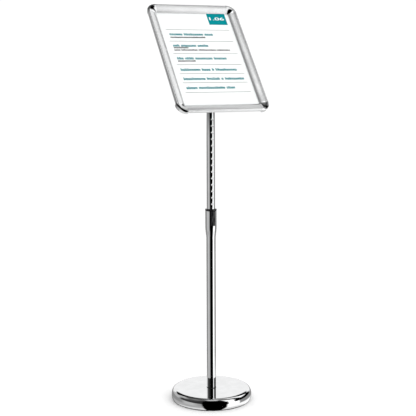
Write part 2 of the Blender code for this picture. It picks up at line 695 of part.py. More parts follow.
def base_section():
    """The fixed channel: hinge cup, back, and the shelf that carries board and sheets."""
    floor_n = RAIL_BACK_N + BASE_WALL
    under_shelf = SHELF_N - BASE_WALL
    points = [(CHANNEL_Q, RAIL_BACK_N), (SHELF_END_Q, RAIL_BACK_N), (SHELF_END_Q, SHELF_N),
              (STOP_Q + BASE_WALL, SHELF_N), (STOP_Q + BASE_WALL, STOP_TOP_N),
              (STOP_Q, STOP_TOP_N), (STOP_Q, under_shelf),
              (SHELF_END_Q - BASE_WALL, under_shelf), (SHELF_END_Q - BASE_WALL, floor_n),
              (CHANNEL_Q + BASE_WALL / 2, floor_n)]
    return points + arc((HINGE_Q, HINGE_N), (CUP_RADIUS, CUP_RADIUS), -28, -80, 5)


def cap_section():
    """A corner cap's wall: the clamp's arch, a little prouder, carried down towards the back."""
    inner = CAP_PROUD - CAP_WALL
    low_n = GAP + CAP_LIP_LIFT
    points = lip_arc(CAP_PROUD, low_n, 4) + shoulder_arc(CAP_PROUD, 180, 7)
    points += [(CAP_FOOT_Q, CAP_BACK_N), (CAP_FOOT_Q + CAP_WALL, CAP_BACK_N)]
    return points + (lip_arc(inner, low_n, 3) + shoulder_arc(inner, 180, 6))[::-1]


def clip_section():
    """A bent leaf that stands in the base channel and presses up inside the arch."""
    foot_n = RAIL_BACK_N + BASE_WALL + GAP
    bend = arc((0.0125, -0.0003), (0.0027, 0.0073), -60, 140, 13)
    path = [(0.0106, foot_n), (0.0132, foot_n)] + bend
    out = []
    for i, point in enumerate(path):
        before = Vector(path[max(i - 1, 0)])
        after = Vector(path[min(i + 1, len(path) - 1)])
        direction = (after - before).normalized()
        out.append((point[0] - direction.y * CLIP_LEAF, point[1] + direction.x * CLIP_LEAF))
    return path + out[::-1]


def side_matrix(side, q, n):
    """From a section's (q, n, along) axes, with its origin at (q, n), to the panel's axes."""
    inwards = {"left": Vector((1, 0, 0)), "right": Vector((-1, 0, 0)),
               "top": Vector((0, -1, 0)), "bottom": Vector((0, 1, 0))}[side]
    out = Vector((0, 0, 1))
    reach = OUTER_WIDTH / 2 if side in ("left", "right") else OUTER_HEIGHT / 2
    origin = Vector((0, PANEL_CENTRE_Y, SHEET_Z)) - inwards * (reach - q) + out * n
    axes = Matrix((inwards, out, inwards.cross(out))).transposed()
    return Matrix.Translation(origin) @ axes.to_4x4()


def rail_length(side):
    whole = OUTER_HEIGHT if side in ("left", "right") else OUTER_WIDTH
    return whole - 2 * (CORNER_RADIUS + GAP)


def make_rails(mats, panel):
    hinged = [(q - HINGE_Q, n - HINGE_N) for q, n in clamp_section()]
    for side in SIDES:
        base = extruded(f"base_rail_{side}", base_section(), rail_length(side))
        base.matrix_world = side_matrix(side, 0, 0)
        place(base, mats["satin_aluminium"])
        attach(panel, base)
        clamp = extruded(f"clamp_rail_{side}", hinged, rail_length(side))
        clamp.matrix_world = side_matrix(side, HINGE_Q, HINGE_N)
        place(clamp, mats["satin_aluminium"])
        attach(panel, clamp)
        for letter, share in (("a", -CLIP_SHARE), ("b", CLIP_SHARE)):
            clip = extruded(f"clamp_spring_{side}_{letter}", clip_section(), CLIP_LENGTH)
            clip.matrix_world = (side_matrix(side, 0, 0)
                                 @ Matrix.Translation((0, 0, share * rail_length(side))))
            place(clip, mats["spring_steel"])
            attach(panel, clip)


def connector_outline():
    """An L with a curved elbow, measured inwards from the frame's outer corner."""
    reach = CORNER_RADIUS + CONNECTOR_REACH
    middle = (-CORNER_RADIUS, -CORNER_RADIUS)
    outer, inner = CORNER_RADIUS - CONNECTOR_NEAR, CORNER_RADIUS - CONNECTOR_FAR
    return [(-reach, -CONNECTOR_NEAR), *arc(middle, (outer, outer), 90, 0, 9),
            (-CONNECTOR_NEAR, -reach), (-CONNECTOR_FAR, -reach),
            *arc(middle, (inner, inner), 0, 90, 9), (-reach, -CONNECTOR_FAR)]


def make_corners(mats, panel):
    section = cap_section()

    def sweep(bm):
        verts = [bm.verts.new((CORNER_RADIUS - q, 0, n)) for q, n in section]
        face = bm.faces.new(verts)
        bmesh.ops.spin(bm, geom=[face, *face.edges, *face.verts], cent=(0, 0, 0),
                       axis=(0, 0, 1), angle=math.radians(90), steps=7, use_duplicate=False)

    connector_z = SHEET_Z + RAIL_BACK_N + BASE_WALL + GAP + CONNECTOR_THICKNESS / 2
    corners = {"top_right": (1, 1, 0), "top_left": (-1, 1, 90),
               "bottom_left": (-1, -1, 180), "bottom_right": (1, -1, 270)}
    for name, (sx, sy, degrees) in corners.items():
        turn = Matrix.Rotation(math.radians(degrees), 4, "Z")
        cap = mesh_object(f"corner_cap_{name}", sweep)
        centre = Vector((sx * (OUTER_WIDTH / 2 - CORNER_RADIUS),
                         PANEL_CENTRE_Y + sy * (OUTER_HEIGHT / 2 - CORNER_RADIUS), SHEET_Z))
        cap.matrix_world = Matrix.Translation(centre) @ turn
        place(cap, mats["chrome"])
        attach(panel, cap)

        connector = extruded(f"corner_connector_{name}", connector_outline(),
                             CONNECTOR_THICKNESS)
        corner = Vector((sx * OUTER_WIDTH / 2, PANEL_CENTRE_Y + sy * OUTER_HEIGHT / 2,
                         connector_z))
        connector.matrix_world = Matrix.Translation(corner) @ turn
        place(connector, mats["zinc_steel"])
        attach(panel, connector)


def make_sheets(mats, panel):
    half_x, half_y = SHEET_WIDTH / 2, SHEET_HEIGHT / 2
    front = SHEET_Z
    layers = (("cover_sheet", COVER_THICKNESS, "clear_sheet"),
              ("poster", POSTER_THICKNESS, "paper"),
              ("back_board", BOARD_THICKNESS, "back_board"))
    for name, thickness, material in layers:
        layer = box(name, (-half_x, PANEL_CENTRE_Y - half_y, front - thickness),
                    (half_x, PANEL_CENTRE_Y + half_y, front))
        if name == "back_board":
            drill_board(layer, front)
        place(layer, mats[material])
        attach(panel, layer)
        front -= thickness + GAP


def drill_board(board, front):
    """Countersunk holes for the screws that hold the board on the bracket."""
    clearance = SCREW_RADIUS + 2 * GAP
    for number, (x, y) in enumerate(SCREWS, 1):
        cut(board,
            rod(f"board_hole_{number}", clearance, (x, y, front - THROUGH),
                (x, y, front + THROUGH), 12),
            rod(f"board_sink_{number}", clearance, (x, y, front - BOARD_SINK_DEPTH),
                (x, y, front + GAP), 12, end_radius=SCREW_HEAD_RADIUS + 3 * GAP))


# ---------------------------------------------------------------- assembly

def main():
    clear_scene()
    mats = make_materials()
    panel = bpy.data.objects.new("panel_axis", None)
    PARTS.objects.link(panel)
    make_base(mats)
    make_lower_tube(mats)
    make_guide_sleeve(mats)
    make_latch(mats)
    make_upper_post(mats)
    make_bracket(mats, panel)
    make_tilt_clamp(mats, panel)
    make_rails(mats, panel)
    make_corners(mats, panel)
    make_sheets(mats, panel)
    panel.matrix_world = (Matrix.Translation((0, 0, PIVOT_Z))
                          @ Matrix.Rotation(math.radians(90) - LEAN, 4, "X"))
    bpy.context.view_layer.update()


main()
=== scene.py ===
import json
import math
import random

import bmesh
import bpy
from mathutils import Matrix, Vector


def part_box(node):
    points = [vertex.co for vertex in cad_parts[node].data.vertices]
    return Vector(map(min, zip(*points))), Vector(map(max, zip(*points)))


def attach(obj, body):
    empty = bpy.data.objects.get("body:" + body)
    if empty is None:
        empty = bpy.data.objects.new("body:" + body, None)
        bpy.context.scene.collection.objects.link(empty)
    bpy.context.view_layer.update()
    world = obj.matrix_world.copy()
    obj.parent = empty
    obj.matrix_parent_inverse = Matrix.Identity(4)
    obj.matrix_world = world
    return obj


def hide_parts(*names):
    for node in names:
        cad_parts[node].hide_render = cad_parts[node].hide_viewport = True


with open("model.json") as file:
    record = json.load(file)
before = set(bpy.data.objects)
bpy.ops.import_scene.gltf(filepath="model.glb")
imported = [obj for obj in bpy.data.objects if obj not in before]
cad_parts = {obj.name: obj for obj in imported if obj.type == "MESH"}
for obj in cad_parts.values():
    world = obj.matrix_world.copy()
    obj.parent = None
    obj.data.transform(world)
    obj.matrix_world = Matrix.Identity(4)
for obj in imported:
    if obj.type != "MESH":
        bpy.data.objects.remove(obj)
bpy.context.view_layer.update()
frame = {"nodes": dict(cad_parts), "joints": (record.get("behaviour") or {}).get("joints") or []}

# ---------------- sizes, in metres

MM = 0.001
GAP = 0.3 * MM               # between parts that fit together

joints = {joint["name"]: joint for joint in frame["joints"]}
PIVOT = Vector(joints["sign_tilt"]["pos_m"])
LEAN = math.radians(joints["sign_tilt"]["range_deg"][1])    # the travel that stands it upright
PANEL = Matrix.Translation(PIVOT) @ Matrix.Rotation(math.pi / 2 - LEAN, 4, "X")

# From an outline's XY and thickness Z to the row frame, with the thickness along X.
ACROSS = Matrix(((0, 0, 1, 0), (1, 0, 0, 0), (0, 1, 0, 0), (0, 0, 0, 1)))


def extent(points):
    """The lowest and the highest corner of the box round some points."""
    return (Vector([min(p[i] for p in points) for i in range(3)]),
            Vector([max(p[i] for p in points) for i in range(3)]))


def panel_box(node):
    to_panel = PANEL.inverted()
    return extent([to_panel @ vertex.co for vertex in frame["nodes"][node].data.vertices])


# Base
cover_low, cover_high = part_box("base_cover")
BASE_RADIUS = cover_high.x
BASE_TOP = cover_high.z
BASE_RIM = cover_low.z
BASE_FLAT_RADIUS = BASE_RADIUS - 18 * MM
BASE_WIDEST_Z = 14 * MM
COVER_WALL = 1.2 * MM
COVER_HOLE = 5.5 * MM
COVER_SQUARENESS = 2.5       # of its rounded edge, where 2 would be a plain ellipse
COVER_TUCK = 2.4 * MM        # from the widest place in to the rim
SEAL_BORE = 9 * MM

# Post
LOWER_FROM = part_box("lower_tube")[0].z
BELL_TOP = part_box("lower_tube")[1].z
BELL_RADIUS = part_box("lower_tube")[1].x
LOWER_RADIUS = 16 * MM
LOWER_WALL = 1 * MM
BELL_TAPER_FROM = 569 * MM
BELL_TAPER_TO = 611 * MM
UPPER_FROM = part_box("upper_tube")[0].z
UPPER_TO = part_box("upper_tube")[1].z
UPPER_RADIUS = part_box("upper_tube")[1].x
UPPER_WALL = 1.5 * MM
NOTCH_PITCH = 22.2 * MM
NOTCH_RADIUS = 3.5 * MM
NOTCH_DEPTH = 1.2 * MM
NOTCHES = 19
LATCH_Z = 646.6 * MM
NOTCHES_BELOW = 3            # the latch at rest
TOOTH_Y = -(UPPER_RADIUS + NOTCH_RADIUS - NOTCH_DEPTH)

# Latch
BUTTON_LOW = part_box("latch_button")[0].z
BUTTON_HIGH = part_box("latch_button")[1].z
BUTTON_MIDDLE = (BUTTON_HIGH + BUTTON_LOW) / 2
BUTTON_HALF_HEIGHT = (BUTTON_HIGH - BUTTON_LOW) / 2
BUTTON_HALF_WIDTH = 8 * MM
BUTTON_RADIUS = BELL_RADIUS + 2.2 * MM
BUTTON_BACK_Y = -17.2 * MM
BUTTON_EDGE = 1.3 * MM
DISH_Z = BUTTON_MIDDLE - 4 * MM
DISH_HALF_WIDTH = 5.6 * MM
DISH_HALF_HEIGHT = 15 * MM
DISH_DEPTH = 0.9 * MM
RIB_HEIGHT = 0.55 * MM
RIB_HALF = 0.75 * MM
RIB_PITCH = 6.5 * MM
RIB_SLANT = 0.7              # its fall for each unit of width, which makes a chevron
ROCKER = Vector(joints["latch_press"]["pos_m"])
ARM_X = 7.4 * MM
ARM_BACK_Y = -13.4 * MM
ARM_FRONT_Y = -18 * MM
ARM_HALF_HEIGHT = 2.2 * MM
WINDOW_CLEARANCE = 0.4 * MM
RIM_LOW = BELL_TOP + GAP
RIM_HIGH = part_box("guide_sleeve")[1].z
RIM_RADIUS = BELL_RADIUS + 0.3 * MM
SLEEVE_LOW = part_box("guide_sleeve")[0].z
SLEEVE_STEP = BUTTON_HIGH + 0.6 * MM      # below it the sleeve is open at the front
POCKET_FLOOR_Y = -15.1 * MM
POCKET_FLOOR = 0.4 * MM

# Snap frame, in the panel's axes
poster_low, poster_high = panel_box("poster")
SHEET_Z = panel_box("cover_sheet")[1].z
PANEL_CENTRE_Y = (poster_low.y + poster_high.y) / 2
OUTER_WIDTH = 2 * panel_box("clamp_rail_right")[1].x
OUTER_HEIGHT = 2 * (panel_box("clamp_rail_top")[1].y - PANEL_CENTRE_Y)
RAIL_WIDTH = 32.5 * MM
RAIL_WALL = 1.5 * MM
FACE_OUTER_N = 14.5 * MM     # where the clamp's sloping face meets the frame's outer edge
FACE_INNER_N = 1.8 * MM      # and its inner edge
FACE_SLOPE = (FACE_INNER_N - FACE_OUTER_N) / RAIL_WIDTH
FACE_ANGLE = 90 + math.degrees(math.atan(FACE_SLOPE))
FACE_SWELL = 1.1 * MM        # of the face over a flat one, in its middle
SHOULDER_RADIUS = 6.5 * MM
SHOULDER_END = 220           # degrees round the shoulder, where the wall turns in to its bead
SHOULDER_INNER_END = 216
LIP_RADIUS = 3 * MM
HINGE_Q = 2.9 * MM
HINGE_N = 0.4 * MM
BEAD_RADIUS = 1.3 * MM
BEAD_FROM = 172              # degrees
BEAD_TO = 455
CORNER_RADIUS = 35.5 * MM
CAP_PROUD = 0.6 * MM
CAP_WALL = 1.7 * MM
CAP_BACK_N = -5 * MM
CAP_FOOT_Q = 1 * MM
WINDOW_WIDTH = OUTER_WIDTH - 2 * RAIL_WIDTH
WINDOW_HEIGHT = OUTER_HEIGHT - 2 * RAIL_WIDTH

# Tilt joint, in the panel's axes
bracket_low, bracket_high = panel_box("tilt_bracket")
PLATE_FRONT = bracket_high.z
PLATE_BACK = PLATE_FRONT - 3 * MM
PLATE_CORNER = 6 * MM
CHEEK_INNER = 7 * MM
CHEEK_WALL = 3 * MM
CHEEK_LOW_Y = -18 * MM
CHEEK_HIGH_Y = 30 * MM
EYE_RADIUS = 12 * MM
EYE_HALF = 5 * MM
HEAD_FLANGE = 3 * MM
PLUG_LENGTH = 36 * MM
BOLT_RADIUS = 4 * MM
NUT_FLATS = 8 * MM
NUT_HEIGHT = 4 * MM
WELD = 0.5 * MM              # how far a welded part runs into the one that carries it
SCREW_X = 36 * MM
SCREW_Y = (-22 * MM, 62 * MM)
KNOB_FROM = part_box("tilt_knob")[0].x
KNOB_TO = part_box("tilt_knob")[1].x
KNOB_RADIUS = 17.5 * MM
KNOB_GRIP = 10 * MM
KNOB_HUB_RADIUS = 9.5 * MM
KNOB_EDGE = 2.2 * MM
LOBES = 5
LOBE_DEPTH = 2 * MM


# ---------------- material helpers

materials = {}


def new_material(name, metallic=0.0):
    """A new entry of materials, and its tree and shader to work on."""
    material = bpy.data.materials.new(name)
    material.use_nodes = True
    materials[name] = material
    shader = material.node_tree.nodes["Principled BSDF"]
    shader.inputs["Metallic"].default_value = metallic
    return material.node_tree, shader


def add_node(tree, kind, inputs, **settings):
    """A node with its settings made, and each input set or linked, by its name or number."""
    node = tree.nodes.new("ShaderNode" + kind)
    for name, value in settings.items():
        setattr(node, name, value)
    for name, value in inputs.items():
        if isinstance(value, bpy.types.NodeSocket):
            tree.links.new(value, node.inputs[name])
        else:
            node.inputs[name].default_value = value
    return node


def noise(tree, scale, detail=4.0, roughness=0.55, stretch=(1, 1, 1), panel=False):
    """Noise over the rest position in metres, stretched, and in the panel's axes if asked."""
    vector = add_node(tree, "TexCoord", {}).outputs["Object"]
    if panel:
        turn = {"Vector": vector, "Rotation": (LEAN - math.pi / 2, 0, 0)}
        vector = add_node(tree, "Mapping", turn).outputs["Vector"]
    vector = add_node(tree, "Mapping", {"Vector": vector, "Scale": stretch}).outputs["Vector"]
    return add_node(tree, "TexNoise", {"Vector": vector, "Scale": scale, "Detail": detail,
                                       "Roughness": roughness}).outputs["Fac"]


def spread(tree, value, low, high, out_low=0.0, out_high=1.0):
    """Maps the part of value between low and high onto out_low to out_high, smoothly."""
    inputs = {"Value": value, "From Min": low, "From Max": high,
              "To Min": out_low, "To Max": out_high}
    return add_node(tree, "MapRange", inputs, interpolation_type="SMOOTHSTEP").outputs["Result"]


def calculated(tree, operation, first, second=0.0):
    return add_node(tree, "Math", {0: first, 1: second}, operation=operation).outputs[0]


def mixed(tree, factor, first, second):
    """A colour between two. A Mix node has its colours in inputs 6 and 7 and in output 2."""
    return add_node(tree, "Mix", {0: factor, 6: first, 7: second}, data_type="RGBA").outputs[2]


def bump(tree, height, depth, strength, **normal):
    inputs = {"Height": height, "Distance": depth, "Strength": strength, **normal}
    return add_node(tree, "Bump", inputs).outputs["Normal"]


def grey(value, blue=0.0):
    """A near-neutral RGBA colour, with a little more green and blue in it if asked."""
    return (value, value + blue / 2, value + blue, 1.0)


def connect(tree, shader, colour, roughness, normal=None):
    tree.links.new(colour, shader.inputs["Base Color"])
    tree.links.new(roughness, shader.inputs["Roughness"])
    if normal is not None:
        tree.links.new(normal, shader.inputs["Normal"])


# ---------------- materials

def chrome_material():
    """Bright plate: near-mirror, with faint polishing haze, wipe marks and a slight waviness."""
    tree, shader = new_material("chrome", metallic=1.0)
    haze = noise(tree, 24)
    wipes = noise(tree, 260, detail=3, stretch=(1, 1, 0.15))
    waves = noise(tree, 30, detail=1, stretch=(1, 1, 0.3))
    colour = mixed(tree, spread(tree, haze, 0.35, 0.7), grey(0.80, 0.01), grey(0.86, 0.01))
    roughness = calculated(tree, "ADD", spread(tree, haze, 0.4, 0.75, 0.025, 0.055),
                           spread(tree, wipes, 0.5, 0.8, 0.0, 0.03))
    connect(tree, shader, colour, roughness, bump(tree, waves, 0.005 * MM, 0.5))


def aluminium_material(name, stretch):
    """Satin anodised extrusion: fine die lines along its length, and a soft uneven sheen."""
    tree, shader = new_material(name, metallic=0.9)
    lines = noise(tree, 2200, detail=3, roughness=0.6, stretch=stretch, panel=True)
    cloud = noise(tree, 18, detail=3)
    colour = mixed(tree, spread(tree, lines, 0.3, 0.7), grey(0.80, 0.01), grey(0.87, 0.01))
    connect(tree, shader, colour, spread(tree, cloud, 0.3, 0.7, 0.20, 0.25),
            bump(tree, lines, 0.008 * MM, 0.25))


def dull_metal(name, dark, light, rough_low, rough_high, grain, depth):
    """Bare or plated metal: a cloudy tone and a fine grain."""
    tree, shader = new_material(name, metallic=1.0)
    cloud = noise(tree, 90, detail=5)
    fine = noise(tree, grain, detail=4)
    connect(tree, shader, mixed(tree, spread(tree, cloud, 0.3, 0.7), dark, light),
            spread(tree, fine, 0.3, 0.7, rough_low, rough_high), bump(tree, fine, depth, 0.5))


def plastic_material(name, dark, light, rough_low, rough_high, grain, depth):
    """Moulded or painted surface: spark-eroded grain, cloudy gloss and slightly rubbed high spots."""
    tree, shader = new_material(name)
    cloud = noise(tree, 70, detail=4)
    fine = noise(tree, grain, detail=2)
    connect(tree, shader, mixed(tree, spread(tree, fine, 0.45, 0.8), dark, light),
            spread(tree, cloud, 0.3, 0.7, rough_low, rough_high), bump(tree, fine, depth, 0.5))
    shader.inputs["Specular IOR Level"].default_value = 0.45


def paper_material():
    """White coated paper: a faint fibre cloud and a very slight cockle."""
    tree, shader = new_material("paper")
    fibre = noise(tree, 1800, detail=5)
    cockle = noise(tree, 14, detail=1)
    cockled = bump(tree, cockle, 0.3 * MM, 0.4)
    connect(tree, shader, mixed(tree, fibre, grey(0.90), (0.95, 0.95, 0.945, 1.0)),
            spread(tree, fibre, 0.3, 0.7, 0.55, 0.7),
            bump(tree, fibre, 0.01 * MM, 0.4, Normal=cockled))


def ink_material(name, colour, lighter):
    """Printed ink on the paper: mottled a little by the fibre under it."""
    tree, shader = new_material(name)
    mottle = noise(tree, 900, detail=4)
    connect(tree, shader, mixed(tree, spread(tree, mottle, 0.35, 0.8), colour, lighter),
            spread(tree, mottle, 0.3, 0.7, 0.6, 0.8))
    shader.inputs["Specular IOR Level"].default_value = 0.05


def clear_material():
    """Clear PET film: nearly invisible, with a soft sheen and fine rub marks."""
    tree, shader = new_material("clear_sheet")
    tree.nodes.remove(shader)
    rubs = noise(tree, 400, detail=4, stretch=(1, 0.2, 0.2))
    roughness = spread(tree, rubs, 0.4, 0.8, 0.06, 0.16)
    gloss = add_node(tree, "BsdfGlossy", {"Color": grey(1.0), "Roughness": roughness})
    clear = add_node(tree, "BsdfTransparent", {"Color": (0.985, 0.99, 0.99, 1.0)})
    fresnel = add_node(tree, "Fresnel", {"IOR": 1.15})
    # Only the outer face of each side shines, because the film doesn't bend the light in it.
    backfacing = add_node(tree, "NewGeometry", {}).outputs["Backfacing"]
    outer = calculated(tree, "SUBTRACT", 1.0, backfacing)
    share = calculated(tree, "MULTIPLY", fresnel.outputs["Fac"], outer)
    mix = add_node(tree, "MixShader", {0: share, 1: clear.outputs[0], 2: gloss.outputs[0]})
    tree.links.new(mix.outputs["Shader"], tree.nodes["Material Output"].inputs["Surface"])


ALONG_X = (0.004, 1, 1)
ALONG_Y = (1, 0.004, 1)

chrome_material()
aluminium_material("satin_aluminium_x", ALONG_X)
aluminium_material("satin_aluminium_y", ALONG_Y)
dull_metal("cast_iron", grey(0.05), grey(0.12, -0.01), 0.6, 0.8, 900, 0.15 * MM)
dull_metal("zinc_steel", grey(0.55, 0.02), grey(0.70, 0.02), 0.25, 0.4, 1500, 0.01 * MM)
dull_metal("spring_steel", (0.25, 0.26, 0.29, 1.0), (0.40, 0.41, 0.43, 1.0),
           0.22, 0.36, 1500, 0.01 * MM)
plastic_material("black_plastic", (0.008, 0.008, 0.009, 1.0), (0.018, 0.018, 0.019, 1.0),
                 0.16, 0.26, 2600, 0.01 * MM)
plastic_material("black_paint", (0.022, 0.022, 0.023, 1.0), (0.045, 0.045, 0.046, 1.0),
                 0.4, 0.55, 1400, 0.06 * MM)
plastic_material("rubber", grey(0.020), grey(0.045, -0.002), 0.75, 0.92, 1200, 0.05 * MM)
plastic_material("nylon", (0.74, 0.74, 0.70, 1.0), (0.82, 0.82, 0.78, 1.0),
                 0.4, 0.55, 1200, 0.02 * MM)
plastic_material("back_board", grey(0.14, 0.01), grey(0.19, 0.01), 0.5, 0.65, 1500, 0.03 * MM)
paper_material()
ink_material("teal_ink", (0.0, 0.24, 0.27, 1.0), (0.0, 0.29, 0.32, 1.0))
ink_material("teal_text", (0.0, 0.20, 0.225, 1.0), (0.0, 0.24, 0.265, 1.0))
ink_material("dark_ink", (0.012, 0.012, 0.014, 1.0), (0.03, 0.03, 0.032, 1.0))
ink_material("grey_ink", grey(0.20), grey(0.27))
ink_material("white_ink", (0.90, 0.91, 0.91, 1.0), grey(0.95))
clear_material()


# ---------------- mesh helpers

def add_object(name, data):
    obj = bpy.data.objects.new(name, data)
    bpy.context.scene.collection.objects.link(obj)
    return obj


def finish_mesh(name, bm, material, sharp=35, smooth=True):
    """Closes a bmesh into an object at the origin of the row frame."""
    bmesh.ops.remove_doubles(bm, verts=bm.verts, dist=1e-7)
    bmesh.ops.recalc_face_normals(bm, faces=bm.faces)
    mesh = bpy.data.meshes.new(name)
    bm.to_mesh(mesh)
    bm.free()
    if smooth:
        mesh.shade_smooth()
        mesh.set_sharp_from_angle(angle=math.radians(sharp))
    mesh.materials.append(materials[material])
    return add_object(name, mesh)


def piece(name, bm, material, body, slot, *replaced, sharp=35):
    """A finished piece that rides on a body and stands for CAD nodes."""
    obj = finish_mesh(name, bm, material, sharp)
    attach(obj, body)
    if replaced:
        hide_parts(*replaced)
    return obj


def arc(centre, radius, start, end, count):
    """Points on a circle's arc, angles in degrees, both ends included."""
    points = []
    for i in range(count):
        angle = math.radians(start + (end - start) * i / (count - 1))
        points.append((centre[0] + radius * math.cos(angle), centre[1] + radius * math.sin(angle)))
    return points


def circle(radius, steps, centre=(0, 0)):
    return arc(centre, radius, 0, 360, steps + 1)[:-1]


def supported(outline):
    """The outline with a point just inside both ends of each long side, to keep flats flat."""
    inset = 0.3 * MM
    points = []
    for i, start in enumerate(outline):
        end = outline[(i + 1) % len(outline)]
        length = math.dist(start, end)
        points.append(start)
        if length > 4 * inset:
            for share in (inset / length, 1 - inset / length):
                points.append((start[0] + (end[0] - start[0]) * share,
                               start[1] + (end[1] - start[1]) * share))
    return points


def bridge(bm, rings, closed=False):
    """Faces from each ring to the next, and from the last to the first if closed."""
    for i in range(len(rings) if closed else len(rings) - 1):
        ring = rings[i]
        following = rings[(i + 1) % len(rings)]
        for k in range(len(ring)):
            after = (k + 1) % len(ring)
            bm.faces.new((ring[k], ring[after], following[after], following[k]))


def add_loft(bm, rings):
    """A solid through the rings, with both ends closed."""
    bridge(bm, rings)
    bm.faces.new(rings[0][::-1])
    bm.faces.new(rings[-1])


def add_turned(bm, outline, steps):
    """A closed outline of (radius, height) turned about Z."""
    rings = []
    for radius, height in outline:
        rings.append([bm.verts.new((x, y, height)) for x, y in circle(radius, steps)])
    bridge(bm, rings, closed=True)


def add_prism(bm, outline, low, high, place=Matrix.Identity(4)):
    """A flat outline in XY carried from Z low to high, with both ends closed."""
    add_loft(bm, [[bm.verts.new(place @ Vector((x, y, z))) for x, y in outline]
                  for z in (low, high)])


def add_bored_prism(bm, outline, low, high, place):
    """A prism round the Z axis with the tilt bolt's hole through it."""
    ends = []
    for z in (low, high):
        loops = [[bm.verts.new(place @ Vector((x, y, z))) for x, y in points]
                 for points in (outline, circle(BOLT_RADIUS + GAP, 36))]
        edges = [bm.edges.new((loop[k], loop[(k + 1) % len(loop)]))
                 for loop in loops for k in range(len(loop))]
        bmesh.ops.triangle_fill(bm, use_beauty=True, edges=edges)
        ends.append(loops)
    for pair in zip(*ends):
        bridge(bm, pair)


def soften(obj, width):
    """A small rounded edge wherever two faces meet at more than 40 degrees."""
    weld = obj.modifiers.new("Weld", "WELD")
    weld.merge_threshold = 1e-6
    bevel = obj.modifiers.new("Soft edges", "BEVEL")
    bevel.width = width
    bevel.segments = 2
    bevel.limit_method = "ANGLE"
    bevel.angle_limit = math.radians(40)
    bevel.harden_normals = True


def rounded_rectangle(low, high, radius):
    left, foot = low[0] + radius, low[1] + radius
    right, top = high[0] - radius, high[1] - radius
    points = []
    for i, centre in enumerate(((right, top), (left, top), (left, foot), (right, foot))):
        points += arc(centre, radius, 90 * i, 90 * i + 90, 6)
    return points


# ---------------- base

def cover_outline(inset):
    """The cover's side from the flat top to the rim, moved inwards by inset."""
    points = []
    for i in range(21):
        angle = math.pi / 2 * i / 20
        across = math.sin(angle) ** (2 / COVER_SQUARENESS)
        down = math.cos(angle) ** (2 / COVER_SQUARENESS)
        points.append((BASE_FLAT_RADIUS + (BASE_RADIUS - BASE_FLAT_RADIUS - inset) * across,
                       BASE_WIDEST_Z + (BASE_TOP - BASE_WIDEST_Z - inset) * down))
    for i in range(1, 9):
        share = i / 8
        points.append((BASE_RADIUS - inset - COVER_TUCK * share * share,
                       BASE_WIDEST_Z - (BASE_WIDEST_Z - BASE_RIM) * share))
    return points


def make_base_shell():
    """The plated cover, pressed from sheet."""
    flat_end = BASE_FLAT_RADIUS - 2 * MM
    top = [(COVER_HOLE, BASE_TOP), (BASE_FLAT_RADIUS * 0.5, BASE_TOP), (flat_end, BASE_TOP)]
    under = [(flat_end, BASE_TOP - COVER_WALL), (COVER_HOLE, BASE_TOP - COVER_WALL)]
    bm = bmesh.new()
    add_turned(bm, top + cover_outline(0.0) + cover_outline(COVER_WALL)[::-1] + under, steps=192)
    piece("base_shell", bm, "chrome", "stand", "chrome", "base_cover", sharp=50)


def make_floor_pad():
    """The rubber pad, with three ring grooves in its underside."""
    pad_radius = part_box("base_pad")[1].x
    pad_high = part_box("base_pad")[1].z
    edge = 0.8 * MM
    middle = 1 * MM
    groove_half = 0.7 * MM
    groove_depth = 0.6 * MM
    outline = [(middle, pad_high), (pad_radius - edge, pad_high)]
    outline += arc((pad_radius - edge, pad_high - edge), edge, 90, 0, 5)[1:]
    outline += arc((pad_radius - edge, edge), edge, 0, -90, 5)
    for from_edge in (8 * MM, 12 * MM, 16 * MM):
        groove = pad_radius - from_edge
        outline += [(groove + groove_half, 0), (groove, groove_depth), (groove - groove_half, 0)]
    outline.append((middle, 0))
    bm = bmesh.new()
    add_turned(bm, outline, steps=128)
    piece("floor_pad", bm, "rubber", "stand", "rubber", "base_pad")


def make_foot_seal():
    """The rubber ring where the post meets the cover."""
    ring_low, ring_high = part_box("foot_ring")
    half = (ring_high.z - ring_low.z) / 2
    middle = (ring_high.x - half, (ring_low.z + ring_high.z) / 2)
    outline = [(SEAL_BORE, ring_low.z)] + arc(middle, half, -90, 90, 9)
    outline.append((SEAL_BORE, ring_high.z))
    bm = bmesh.new()
    add_turned(bm, outline, steps=96)
    piece("foot_seal", bm, "rubber", "stand", "rubber", "foot_ring")


# ---------------- post

def add_shell_grid(bm, radius_at, angles, heights, wall, is_open=lambda angle, height: False):
    """A tube from a grid of its outer radius, with a plain inner wall and all its edges closed."""
    outer, inner = {}, {}
    for row, height in enumerate(heights):
        inner_radius = radius_at(math.pi, height) - wall
        for k, angle in enumerate(angles):
            across, toward = math.sin(angle), -math.cos(angle)
            radius = radius_at(angle, height)
            outer[row, k] = bm.verts.new((radius * across, radius * toward, height))
            inner[row, k] = bm.verts.new((inner_radius * across, inner_radius * toward, height))
    count = len(angles)
    rows = len(heights) - 1

    def open_at(row, column):
        angle = (angles[column] + angles[(column + 1) % count]) / 2
        return not 0 <= row < rows or is_open(angle, (heights[row] + heights[row + 1]) / 2)

    for row in range(rows):
        for k in range(count):
            if open_at(row, k):
                continue
            after = (k + 1) % count
            corners = ((row, k), (row, after), (row + 1, after), (row + 1, k))
            beyond = ((row - 1, k), (row, after), (row + 1, k), (row, (k - 1) % count))
            bm.faces.new([outer[corner] for corner in corners])
            bm.faces.new([inner[corner] for corner in corners[::-1]])
            for a, b, neighbour in zip(corners, corners[1:] + corners[:1], beyond):
                if open_at(*neighbour):
                    bm.faces.new((outer[b], outer[a], inner[a], inner[b]))
    bmesh.ops.delete(bm, geom=[v for v in bm.verts if not v.link_faces], context="VERTS")


